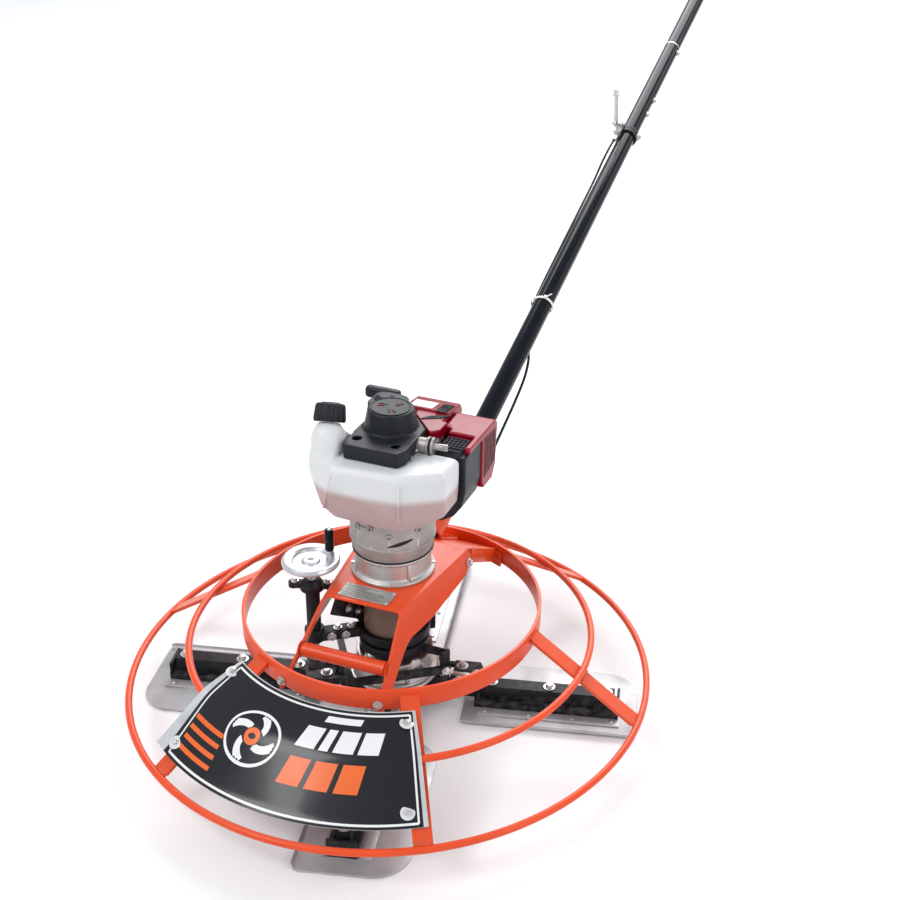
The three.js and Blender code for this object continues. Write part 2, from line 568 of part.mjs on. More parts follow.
// A body that swells from a narrow foot to its shoulder, with the filler tower on its left.
function tankShape() {
  const t = TANK;
  const hull = (...shapes) => wasm.Manifold.hull(shapes);
  const body = hull(
    slab([[-46, -82], [50, -88], [60, -78], [60, t.back - 4], [-50, t.back - 4], [-58, -50]], t.bottom, t.bottom + 1),
    slab([[-60, -92], [52, -93], [102, -60], [102, t.back], [-78, t.back], [-84, -52]], t.waist, t.waist + 1),
    slab([[-40, -101], [52, -93], [103, -61], [104, t.back], [-92, t.back], [-98, -40], [-84, -77]], t.shoulder, t.top - 6),
    slab([[-40, -95], [50, -87], [97, -58], [98, t.back - 4], [-88, t.back - 4], [-93, -40], [-80, -73]], t.top - 1, t.top));
  const tower = hull(
    slab([[-90, t.back - 2], [-97, -40], [-84, -75], [-62, -90], [-44, -82], [-44, t.back - 2]], t.shoulder, t.top),
    onNeck(post(NECK.radius + 3, -4, 0)));
  const neck = onNeck(post(NECK.radius, -4, NECK.length));
  const clutchRoom = post(CLUTCH.high + 2, t.bottom - 5, t.bottom + 2);
  const crankRoom = slab(roundedOutline(-38, 38, -10, 20, 8), t.bottom - 5, t.top + 20);
  return cut(union(body, tower, neck), clutchRoom, crankRoom);
}

// An outline of [x, z] points, extruded along Y from y0 to y1.
function frontSlab(outline, y0, y1) {
  const shape = new THREE.Shape(outline.map(([x, z]) => new THREE.Vector2(x, z)));
  const geometry = new THREE.ExtrudeGeometry(shape, { depth: y1 - y0, bevelEnabled: false });
  geometry.rotateX(Math.PI / 2);
  geometry.translate(0, y1, 0);
  return solid(geometry);
}

function recoilShape() {
  const r = RECOIL;
  const skirt = slab([[-35, -73], [41, -73], [48, -58], [46, 10], [20, 40], [4, 58], [-40, 58], [-40, -2], [-38, -66]],
    r.bottom, r.shoulder);
  const boss = post(r.boss + 6, r.shoulder - 1, r.top, { topRadius: r.boss });
  const rear = slab(roundedOutline(-46, 4, 14, 60, 12), r.shoulder - 1, 470);
  const inside = union(
    slab([[-32, -69], [38, -69], [44, -56], [42, 9], [18, 37], [2, 54], [-36, 54], [-35, -4]], r.bottom - 1, r.shoulder - 4),
    post(r.boss - 3, r.shoulder - 6, r.top - 4));
  const ropeHole = rod([-34, 20, 462.5], [-34, 80, 462.5], 3, 10);
  const screwHoles = [[-26, -50], [30, -52]].map(([x, y]) => post(6, r.shoulder - 8, r.shoulder + 4, { x, y, sides: 16 }));
  return cut(union(skirt, boss, rear), inside, ropeHole, ...screwHoles);
}

// ---------------------------------------------------------------- pole and controls
const poleDirection = new THREE.Vector3(0, Math.cos(POLE.slope * RAD), Math.sin(POLE.slope * RAD));
const poleNormal = new THREE.Vector3(0, -Math.sin(POLE.slope * RAD), Math.cos(POLE.slope * RAD));

// A point beside the pole axis: y picks the station, then offsets along X and square to the pole.
function besidePole(y, across = 0, above = 0) {
  const z = POLE.z + (y - POLE.y) * Math.tan(POLE.slope * RAD);
  return [across, y + above * poleNormal.y, z + above * poleNormal.z];
}

function addPole() {
  const bore = POLE.radius - POLE.wall;
  piece('pole', cut(
    rod(besidePole(POLE.start), besidePole(POLE.joint), POLE.radius, 20),
    rod(besidePole(POLE.start - 10), besidePole(POLE.joint + 10), bore, 20)), GLOSS_BLACK);

  const sleeve = cut(
    union(
      rod(besidePole(POLE.start - 8), besidePole(238), POLE.radius + 4.5, 20),
      bar([0, 122, 192], [0, 206, 178], 44, 60)),
    rod(besidePole(POLE.start - GAP), besidePole(300), POLE.radius + FIT, 20),
    box(-60, 60, 214, 260, 100, 232));
  const underPlate = sideSlab([[60, 60], [240, 60], [240, FRAME.top - (240 - FRAME.rear) * 0.59 + GAP],
    [FRAME.rear, FRAME.top + GAP], [60, FRAME.top + GAP]], -60, 60);
  piece('pole_socket', cut(sleeve, underPlate), ORANGE);

  const stem = union(
    rod(besidePole(POLE.joint + GAP), besidePole(POLE.end), POLE.radius, 20),
    rod(besidePole(POLE.joint - 60), besidePole(POLE.joint + 20), bore - FIT, 20));
  const [, barY, barZ] = besidePole(POLE.end);
  const cross = rod([-HANDLE.halfWidth, barY, barZ], [HANDLE.halfWidth, barY, barZ], HANDLE.radius, 16);
  piece('handle_bar', union(stem, cross), GLOSS_BLACK);
  for (const [name, side] of [['grip_left', -1], ['grip_right', 1]]) {
    const outer = side * (HANDLE.halfWidth + 3);
    const inner = side * (HANDLE.halfWidth - HANDLE.gripLength);
    const tip = side * (HANDLE.halfWidth + GAP);
    piece(name, cut(
      rod([inner, barY, barZ], [outer, barY, barZ], HANDLE.grip, 16),
      rod([inner - side, barY, barZ], [tip, barY, barZ], HANDLE.radius + GAP, 16)), RUBBER);
  }
}

function addThrottle() {
  const { y, lever } = THROTTLE;
  const tube = rod(besidePole(y - 60), besidePole(y + 60), POLE.radius + GAP, 20);
  const band = rod(besidePole(y - 9), besidePole(y + 9), POLE.radius + 4, 20);
  const ear = bar(besidePole(y - 26, -15, 16), besidePole(y + 10, -15, 16), 12, 18, [0, -0.34, 0.94]);
  const pin = rod(besidePole(y, -29, 26), besidePole(y, -8, 26), 2.6, 12);
  const upstand = bar(besidePole(y - 8, -13, 20), besidePole(y + 8, -13, 20), 4, 22, [0, -0.34, 0.94]);
  piece('throttle_clamp', cut(union(band, ear, upstand, pin), tube), ALUMINIUM);

  const [, py, pz] = besidePole(y, 0, 26);
  const cheek = rod([-27.5, py, pz], [-23.5, py, pz], 8.5, 16);
  const blade = bar([-25.5, py, pz], [-25.5, py - 12, pz + lever], 4, 9, [0, 1, 0]);
  const knob = rod([-31, py - 12, pz + lever], [-20, py - 12, pz + lever], 5.5, 12);
  piece('throttle_lever', cut(union(cheek, blade, knob), rod([-40, py, pz], [0, py, pz], 2.6 + FIT, 12)), STEEL);

  // The cable leaves the clamp towards the engine, is tied to the pole and drops to the carburettor.
  const cableRoute = [
    besidePole(y - 28, -15, 16), besidePole(y - 60, -17, 17), besidePole(y - 110, -19.5, 12),
    besidePole(1000, -20.5, 4), besidePole(900, -20.5, 2), besidePole(800, -20.6, 0), besidePole(700, -20.8, -3),
    besidePole(640, -20, -7), besidePole(600, -17, -15), besidePole(565, -7, -23), [12, 535, 342], [20, 495, 322],
    [21, 442, 295], [21, 363, 261], [24, 300, 240], [34, 240, 246], [36, 180, 286], [30, 140, 340], [22, 118, 372],
  ].map((point) => new THREE.Vector3(...point));
  const section = new THREE.Shape();
  section.absarc(0, 0, 2.4, 0, 2 * Math.PI);
  const cable = new THREE.ExtrudeGeometry(section, {
    steps: 40, curveSegments: 2, bevelEnabled: false, extrudePath: new THREE.CatmullRomCurve3(cableRoute),
  });
  piece('throttle_cable', solid(cable), RUBBER);
}

addGuardCage();
addGuardPanel();
addFrame();
addDriveTrain();
addClutch();
addRotor();
addPitchControl();
addEngine();
addPole();
addThrottle();

export default trowel;
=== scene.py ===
"""Looks of a walk-behind power trowel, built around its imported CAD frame.

Sizes named here are millimetres; heights are measured from the floor and turned into the
frame's metres by `at`. Each part of the machine has its own function further down.
"""
import math

import bmesh
import bpy
from mathutils import Matrix, Vector


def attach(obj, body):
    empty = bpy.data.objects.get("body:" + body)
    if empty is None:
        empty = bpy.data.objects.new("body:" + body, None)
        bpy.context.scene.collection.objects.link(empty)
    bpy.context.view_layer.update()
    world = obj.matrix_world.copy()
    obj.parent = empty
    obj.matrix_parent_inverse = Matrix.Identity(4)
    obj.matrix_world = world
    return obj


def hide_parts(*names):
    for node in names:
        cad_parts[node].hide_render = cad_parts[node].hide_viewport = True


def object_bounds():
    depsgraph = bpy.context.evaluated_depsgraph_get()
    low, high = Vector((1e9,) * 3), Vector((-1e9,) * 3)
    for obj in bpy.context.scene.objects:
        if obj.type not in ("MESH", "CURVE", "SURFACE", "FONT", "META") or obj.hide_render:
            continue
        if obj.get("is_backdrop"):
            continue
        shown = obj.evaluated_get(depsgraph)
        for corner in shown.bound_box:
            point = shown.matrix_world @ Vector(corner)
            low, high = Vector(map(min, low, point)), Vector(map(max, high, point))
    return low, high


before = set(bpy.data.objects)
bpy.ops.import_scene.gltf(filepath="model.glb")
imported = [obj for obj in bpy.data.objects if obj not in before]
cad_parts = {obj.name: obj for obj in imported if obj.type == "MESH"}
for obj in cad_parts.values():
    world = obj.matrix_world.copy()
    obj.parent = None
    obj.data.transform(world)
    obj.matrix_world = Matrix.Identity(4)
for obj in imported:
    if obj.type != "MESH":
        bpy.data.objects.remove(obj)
CAD_BOUNDS = [list(corner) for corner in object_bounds()]

MM = 0.001
FLOOR = CAD_BOUNDS[0][2]
GROUND = Matrix.Translation((0, 0, FLOOR))
UP = Vector((0, 0, 1))
TAU = 2 * math.pi

# ------------------------------------------------------------------ driving sizes
OUTER_RING = {"radius": 376.0, "height": 53.0}
RING_BAR = 5.0
BAND = {"outer": 213.6, "inner": 209.0, "bottom": 136.0, "top": 166.0}
SPOKE = {"width": 25.0, "thick": 5.0, "inner": 213.9, "outer": 369.5, "high": 162.5, "low": 57.5}
PANEL = {"inner": 232.0, "outer": 358.0, "from": -126.5, "to": -58.6, "thick": 2.0, "crest": 289.0}
FRAME = {"top": 228.0, "sheet": 4.0, "half": 58.0, "front": -100.0, "rear": 85.0,
         "flare": 0.122, "splay": 0.31}
CROSSBAR = (-157, 174)  # y and height of its middle
POLE = {"radius": 16.85, "slope": math.radians(19.85), "y": 380.0, "z": 304.5, "start": 130.0,
        "joint": 1505.0, "end": 1955.0}
SCREW_AZIMUTH = math.radians(214.5)
SCREW_REACH = 115.0
ROTOR_REST = math.radians(13.0)
WHEEL_FOOT = 246
THROTTLE_Y = 1165
TIE_Y = 640
HANDLE_REACH = 265
COVER_FALL = 0.131  # of the red head cover's top, towards the rear

# ------------------------------------------------------------------ the photo's camera
CAMERA = {"place": (650.79, -1378.80, 1224.54), "right": (0.95451, 0.29246, 0.05810),
          "ahead": (-0.23256, 0.85214, -0.46880), "lens": 50.245, "shift": (-0.1519, 0.0051)}


# ------------------------------------------------------------------ places
def at(x, y, z):
    """A point given in millimetres above the floor, in the frame's metres."""
    return Vector((x * MM, y * MM, z * MM + FLOOR))


def polar(radius, azimuth, z):
    return at(radius * math.cos(azimuth), radius * math.sin(azimuth), z)


def heading(azimuth):
    """The level direction at an azimuth."""
    return Vector((math.cos(azimuth), math.sin(azimuth), 0))


def aim(place, normal, spin=0.0):
    """A matrix whose local +Z lies along `normal` at `place`."""
    turn = UP.rotation_difference(Vector(normal).normalized()).to_matrix().to_4x4()
    return Matrix.Translation(place) @ turn @ Matrix.Rotation(spin, 4, "Z")


def spoke_height(radius):
    fall = (SPOKE["high"] - SPOKE["low"]) / (SPOKE["outer"] - SPOKE["inner"])
    return SPOKE["high"] - (radius - SPOKE["inner"]) * fall


RING_HEIGHT = spoke_height(PANEL["crest"]) + 9.8


def beside_pole(y, across=0.0, above=0.0):
    z = POLE["z"] + (y - POLE["y"]) * math.tan(POLE["slope"])
    return at(across, y - above * math.sin(POLE["slope"]), z + above * math.cos(POLE["slope"]))


POLE_WAY = Vector((0, math.cos(POLE["slope"]), math.sin(POLE["slope"])))
POLE_UP = beside_pole(0, 0, 1) - beside_pole(0)


def from_lever(x, y, z):
    """A point in the pitch lever's own axes, x towards the handwheel."""
    c, s = math.cos(SCREW_AZIMUTH), math.sin(SCREW_AZIMUTH)
    return at(x * c - y * s, x * s + y * c, z)


LEVER_WAY = from_lever(1, 0, 8) - from_lever(0, 0, 8)
LEVER_SIDE = from_lever(0, 1, 8) - from_lever(0, 0, 8)


# ------------------------------------------------------------------ mesh building
class Shape:
    """A mesh gathered from several solids, each with its own material number."""

    def __init__(self):
        self.points, self.faces, self.marks = [], [], []

    def add(self, mesh, matrix=Matrix(), mark=0):
        start = len(self.points)
        mesh.verts.index_update()
        self.points += [matrix @ v.co for v in mesh.verts]
        flip = matrix.determinant() < 0
        for face in mesh.faces:
            loop = [start + v.index for v in face.verts]
            self.faces.append(loop[::-1] if flip else loop)
            self.marks.append(mark)
        mesh.free()
        return self

    def build(self, name, materials, body, slot, replaces=(), angle=32):
        data = bpy.data.meshes.new(name)
        data.from_pydata([tuple(p) for p in self.points], [], self.faces)
        materials = materials if isinstance(materials, (list, tuple)) else [materials]
        for item in materials:
            data.materials.append(item)
        data.polygons.foreach_set("material_index", self.marks)
        obj = bpy.data.objects.new(name, data)
        bpy.context.scene.collection.objects.link(obj)
        shade(obj, angle)
        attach(obj, body)
        if replaces:
            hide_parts(*replaces)
        return obj


def shade(obj, angle):
    obj.data.polygons.foreach_set("use_smooth", [True] * len(obj.data.polygons))
    obj.data.set_sharp_from_angle(angle=math.radians(angle))


def soften(obj, width, segments=2, angle=32):
    """Rounds every sharp edge by `width` millimetres."""
    rounding = obj.modifiers.new("edges", "BEVEL")
    rounding.width = width * MM
    rounding.segments = segments
    rounding.limit_method = "ANGLE"
    rounding.angle_limit = math.radians(angle)
    rounding.harden_normals = True
    rounding.use_clamp_overlap = True


def thicken(obj, thickness, even=False):
    """Gives an open surface the thickness of its sheet, inwards."""
    sheet = obj.modifiers.new("sheet", "SOLIDIFY")
    sheet.thickness = thickness * MM
    sheet.offset = -1
    sheet.use_even_offset = even


def settled(mesh):
    """The mesh with every face turned outwards."""
    bmesh.ops.recalc_face_normals(mesh, faces=mesh.faces)
    return mesh


def facing_up(mesh):
    """An open mesh with its faces turned upwards."""
    settled(mesh)
    if sum(f.normal.z * f.calc_area() for f in mesh.faces) < 0:
        bmesh.ops.reverse_faces(mesh, faces=mesh.faces)
    return mesh


def skin(mesh, rows, capped=True):
    """Joins closed rows of equal length with four-sided faces."""
    for low, high in zip(rows, rows[1:]):
        for k in range(len(low)):
            n = (k + 1) % len(low)
            mesh.faces.new((low[k], low[n], high[n], high[k]))
    if capped:
        mesh.faces.new(rows[0][::-1])
        mesh.faces.new(rows[-1])
    return settled(mesh)


def fillet(profile, radius, steps=4, closed=False):
    """Rounds the corners of an outline of 2D points."""
    points = [Vector(p) for p in profile]
    count = len(points)
    rounded = []
    for i, corner in enumerate(points):
        if not closed and i in (0, count - 1):
            rounded.append(corner)
            continue
        before, after = points[i - 1], points[(i + 1) % count]
        a, b = before - corner, after - corner
        if a.length < 1e-9 or b.length < 1e-9 or abs(a.normalized().cross(b.normalized())) < 0.05:
            rounded.append(corner)
            continue
        half = a.angle(b) / 2
        reach = min(radius / math.tan(half), a.length * 0.45, b.length * 0.45)
        start, end = corner + a.normalized() * reach, corner + b.normalized() * reach
        for k in range(steps + 1):
            t = k / steps
            rounded.append((1 - t) ** 2 * start + 2 * t * (1 - t) * corner + t * t * end)
    return [(p.x, p.y) for p in rounded]


def lathe(profile, segments=72, loop=False):
    """Turns an outline of (radius, height) millimetres about Z."""
    mesh = bmesh.new()
    rows = []
    for radius, height in profile:
        if radius < 1e-6:
            rows.append([mesh.verts.new((0, 0, height * MM))])
        else:
            rows.append([mesh.verts.new((radius * MM * math.cos(TAU * k / segments),
                                         radius * MM * math.sin(TAU * k / segments), height * MM))
                         for k in range(segments)])
    pairs = list(zip(rows, rows[1:])) + ([(rows[-1], rows[0])] if loop else [])
    for low, high in pairs:
        for k in range(segments):
            n = (k + 1) % segments
            if len(low) == 1 and len(high) == 1:
                continue
            if len(low) == 1:
                mesh.faces.new((low[0], high[n], high[k]))
            elif len(high) == 1:
                mesh.faces.new((low[k], low[n], high[0]))
            else:
                mesh.faces.new((low[k], low[n], high[n], high[k]))
    return settled(mesh)


def wheel(profile, radius=0.6, segments=72, loop=False, steps=3):
    """A lathe whose corners are rounded by `radius` millimetres."""
    return lathe(fillet(profile, radius, steps, closed=loop), segments, loop)


def tube(points, radius, sides=16, closed=False, radii=None):
    """A round bar along a list of points in metres."""
    mesh = bmesh.new()
    count = len(points)
    rings = []
    previous = None
    for i, point in enumerate(points):
        ahead = points[(i + 1) % count] if closed or i < count - 1 else point
        behind = points[i - 1] if closed or i > 0 else point
        way = (ahead - behind).normalized()
        if previous is None:
            side = way.orthogonal().normalized()
        else:
            side = (previous - way * previous.dot(way)).normalized()
        previous = side
        other = way.cross(side)
        size = (radii[i] if radii else radius) * MM
        rings.append([mesh.verts.new(point + (side * math.cos(TAU * k / sides)
                                              + other * math.sin(TAU * k / sides)) * size)
                      for k in range(sides)])
    return skin(mesh, rings + rings[:1] if closed else rings, capped=not closed)


def ring_points(radius, height):
    return [polar(radius, TAU * k / 192, height) for k in range(192)]


def spline(points, steps=8):
    """A smooth curve through the points."""
    curve = []
    ends = [2 * points[0] - points[1], *points, 2 * points[-1] - points[-2]]
    for i in range(1, len(ends) - 2):
        p0, p1, p2, p3 = ends[i - 1:i + 3]
        for k in range(steps):
            t = k / steps
            curve.append(0.5 * ((2 * p1) + (p2 - p0) * t + (2 * p0 - 5 * p1 + 4 * p2 - p3) * t * t
                                + (3 * p1 - p0 - 3 * p2 + p3) * t ** 3))
    curve.append(points[-1].copy())
    return curve


def prism(outline, low, high, bevel=0.0, segments=2):
    """An outline of (x, y) millimetres raised from `low` to `high`."""
    mesh = bmesh.new()
    base = [mesh.verts.new((x * MM, y * MM, low * MM)) for x, y in outline]
    top = [mesh.verts.new((x * MM, y * MM, high * MM)) for x, y in outline]
    count = len(outline)
    mesh.faces.new(base[::-1])
    mesh.faces.new(top)
    for k in range(count):
        n = (k + 1) % count
        mesh.faces.new((base[k], base[n], top[n], top[k]))
    settled(mesh)
    if bevel:
        sharp = [e for e in mesh.edges if e.calc_face_angle(0) > math.radians(35)]
        bmesh.ops.bevel(mesh, geom=sharp, offset=bevel * MM, segments=segments, profile=0.5, affect="EDGES")
    return mesh


def block(width, depth, height, bevel=0.8):
    """A box centred on the origin, resting on its underside."""
    w, d = width / 2, depth / 2
    return prism([(-w, -d), (w, -d), (w, d), (-w, d)], 0, height, bevel)


def round_rect(x0, x1, y0, y1, radius, steps=5):
    return fillet([(x0, y0), (x1, y0), (x1, y1), (x0, y1)], radius, steps, closed=True)


def loft(sections):
    """Joins outlines of equal length; each is (outline, height) in millimetres."""
    mesh = bmesh.new()
    rows = [[mesh.verts.new((x * MM, y * MM, z * MM)) for x, y in outline] for outline, z in sections]
    return skin(mesh, rows)


def beam(a, b, width, thick, up=UP, bevel=0.6):
    """A rectangular bar between two points in metres."""
    way = (b - a).normalized()
    side = way.cross(up).normalized()
    top = side.cross(way)
    length = (b - a).length / MM
    w, t = width / 2, thick / 2
    mesh = prism([(-w, -t), (w, -t), (w, t), (-w, t)], 0, length, bevel)
    turn = Matrix((side, top, -way)).transposed().to_4x4()
    bmesh.ops.transform(mesh, matrix=Matrix.Translation(b) @ turn, verts=mesh.verts)
    if turn.determinant() < 0:
        bmesh.ops.reverse_faces(mesh, faces=mesh.faces)
    return mesh


def build_plain(shape):
    data = bpy.data.meshes.new("scratch")
    data.from_pydata([tuple(p) for p in shape.points], [], shape.faces)
    obj = bpy.data.objects.new("scratch", data)
    bpy.context.scene.collection.objects.link(obj)
    return obj


def baked(obj, *tools):
    """The object's mesh after its modifiers, as a bmesh; the scratch objects go."""
    bpy.context.view_layer.update()
    result = bpy.data.meshes.new_from_object(obj.evaluated_get(bpy.context.evaluated_depsgraph_get()))
    for scratch in (obj, *tools):
        bpy.data.objects.remove(scratch)
    mesh = bmesh.new()
    mesh.from_mesh(result)
    bpy.data.meshes.remove(result)
    return mesh


def remeshed(shape, voxel, smooth):
    """The gathered solids blended into one soft moulding, as a bmesh."""
    obj = build_plain(shape)
    remesh = obj.modifiers.new("skin", "REMESH")
    remesh.mode = "VOXEL"
    remesh.voxel_size = voxel * MM
    relax = obj.modifiers.new("relax", "SMOOTH")
    relax.iterations = smooth
    relax.factor = 0.5
    return baked(obj)


def carved(solid, cutters):
    """The solid with the cutters taken away, as a bmesh."""
    body = build_plain(Shape().add(solid))
    tool = Shape()
    for cutter, matrix in cutters:
        tool.add(cutter, matrix)
    knife = build_plain(tool)
    cut = body.modifiers.new("cut", "BOOLEAN")
    cut.operation = "DIFFERENCE"
    cut.solver = "EXACT"
    cut.use_self = True
    cut.object = knife
    return baked(body, knife)


# ------------------------------------------------------------------ fasteners
def hex_head(size, height, washer=0.0):
    """A hexagon head on its washer; `size` is across the flats."""
    shape = Shape()
    base = 0.0
    if washer:
        base = 1.5
        shape.add(wheel([(0, 0), (washer, 0), (washer, base), (0, base)], 0.4, 32))
    corner = size / math.sqrt(3)
    outline = [(corner * math.cos(TAU * k / 6), corner * math.sin(TAU * k / 6)) for k in range(6)]
    shape.add(prism(outline, base, base + height, 0.5))
    shape.add(wheel([(0, base + height), (size * 0.46, base + height), (size * 0.42, base + height + 0.5),
                     (0, base + height + 0.5)], 0.2, 24))
    return shape


def stamp(shape, stencil, matrix=Matrix()):
    """Copies one gathered shape into another."""
    start = len(shape.points)
    shape.points += [matrix @ p for p in stencil.points]
    shape.faces += [[start + i for i in face] for face in stencil.faces]
    shape.marks += [0] * len(stencil.faces)


def bolts(name, places, body, size=8.0, height=4.5, washer=7.5):
    """Zinc-plated hexagon heads at (place, normal) pairs."""
    stencil = hex_head(size, height, washer)
    shape = Shape()
    for number, (place, normal) in enumerate(places):
        stamp(shape, stencil, aim(place, normal, 0.4 * number))
    shape.build(name, FINISH["zinc"], body, "zinc_steel")


def weld(points, radius=2.4, seed=0):
    """A rippled bead of weld along a line of points."""
    path = spline(points, 10) if len(points) > 2 else [points[0].lerp(points[1], k / 14) for k in range(15)]
    radii = [radius * (0.8 + 0.25 * math.sin(k * 1.9 + seed)) for k in range(len(path))]
    return tube(path, radius, 8, radii=radii)


# ------------------------------------------------------------------ materials
def mapped(tree, value, smooth=False, **inputs):
    """Stretches a value from one range to another; keywords are the node's inputs."""
    node = tree.nodes.new("ShaderNodeMapRange")
    if smooth:
        node.interpolation_type = "SMOOTHSTEP"
    for key, number in inputs.items():
        node.inputs[key.replace("_", " ").title()].default_value = number
    tree.links.new(value, node.inputs["Value"])
    return node.outputs["Result"]


def mixed(tree, factor, first, second):
    """Mixes a colour socket with a plain colour."""
    mix = tree.nodes.new("ShaderNodeMix")
    mix.data_type = "RGBA"
    tree.links.new(factor, mix.inputs["Factor"])
    tree.links.new(first, mix.inputs["A"])
    mix.inputs["B"].default_value = (*second, 1)
    return mix.outputs["Result"]


def surface(name, color, roughness, metallic=0.0, *, vary=0.06, vary_scale=14.0, grain=0.0, grain_scale=900.0,
            rough_vary=0.08, edge_wear_and_highlight=None, edge_wear_and_highlight_amount=0.0, stretch=None, detail=None, **sockets):
    """A principled surface whose colour, gloss and relief drift over the part."""
    mat = bpy.data.materials.new(name)
    mat.use_nodes = True
    tree = mat.node_tree
    nodes, links = tree.nodes, tree.links
    shader = nodes["Principled BSDF"]
    shader.inputs["Metallic"].default_value = metallic
    for key, value in sockets.items():
        shader.inputs[key.replace("_", " ").title().replace("Ior", "IOR")].default_value = value
    place = nodes.new("ShaderNodeTexCoord")
    vector = place.outputs["Object"]
    if stretch:
        mapping = nodes.new("ShaderNodeMapping")
        mapping.inputs["Scale"].default_value = stretch
        links.new(vector, mapping.inputs["Vector"])
        vector = mapping.outputs["Vector"]

    def noisy(scale, octaves):
        texture = nodes.new("ShaderNodeTexNoise")
        texture.inputs["Scale"].default_value = scale
        texture.inputs["Detail"].default_value = octaves
        links.new(vector, texture.inputs["Vector"])
        return texture.outputs["Fac"]

    drift = noisy(vary_scale, 4)
    ramp = nodes.new("ShaderNodeValToRGB")
    for element, position, factor in zip(ramp.color_ramp.elements, (0.32, 0.68), (1 - vary, 1 + vary)):
        element.position = position
        element.color = (*[min(1.0, c * factor) for c in color], 1)
    links.new(drift, ramp.inputs["Fac"])
    result = ramp.outputs["Color"]
    # Sharp convex edges, found by pointiness and broken up by noise, are mixed towards the edge colour. This
    # is partly paint wear and partly a painted highlight where light catches the edges.
    if edge_wear_and_highlight:
        edge = nodes.new("ShaderNodeNewGeometry").outputs["Pointiness"]
        spread = mapped(tree, edge, from_min=0.53, from_max=0.62)
        edge_wear_and_highlight_mask = nodes.new("ShaderNodeMath")
        edge_wear_and_highlight_mask.operation = "MULTIPLY"
        links.new(spread, edge_wear_and_highlight_mask.inputs[0])
        blotches = mapped(tree, noisy(90, 5), from_min=0.42, from_max=0.62, to_max=edge_wear_and_highlight_amount)
        links.new(blotches, edge_wear_and_highlight_mask.inputs[1])
        result = mixed(tree, edge_wear_and_highlight_mask.outputs[0], result, edge_wear_and_highlight)
    if detail:
        result = detail(tree, place, result)
    links.new(result, shader.inputs["Base Color"])
    gloss = mapped(tree, noisy(vary_scale * 3.3, 5), to_min=max(0.02, roughness - rough_vary),
                   to_max=min(1.0, roughness + rough_vary))
    links.new(gloss, shader.inputs["Roughness"])
    if grain:
        relief = nodes.new("ShaderNodeBump")
        relief.inputs["Strength"].default_value = grain
        relief.inputs["Distance"].default_value = 0.0004
        links.new(noisy(grain_scale, 3), relief.inputs["Height"])
        links.new(relief.outputs["Normal"], shader.inputs["Normal"])
    return mat


def fuel_level(tree, place, above):
    """Tints the tank below the fuel's surface."""
    split = tree.nodes.new("ShaderNodeSeparateXYZ")
    tree.links.new(place.outputs["Object"], split.inputs["Vector"])
    level = mapped(tree, split.outputs["Z"], True, from_min=at(0, 0, 398).z, from_max=at(0, 0, 384).z)
    return mixed(tree, level, above, (0.47, 0.335, 0.325))
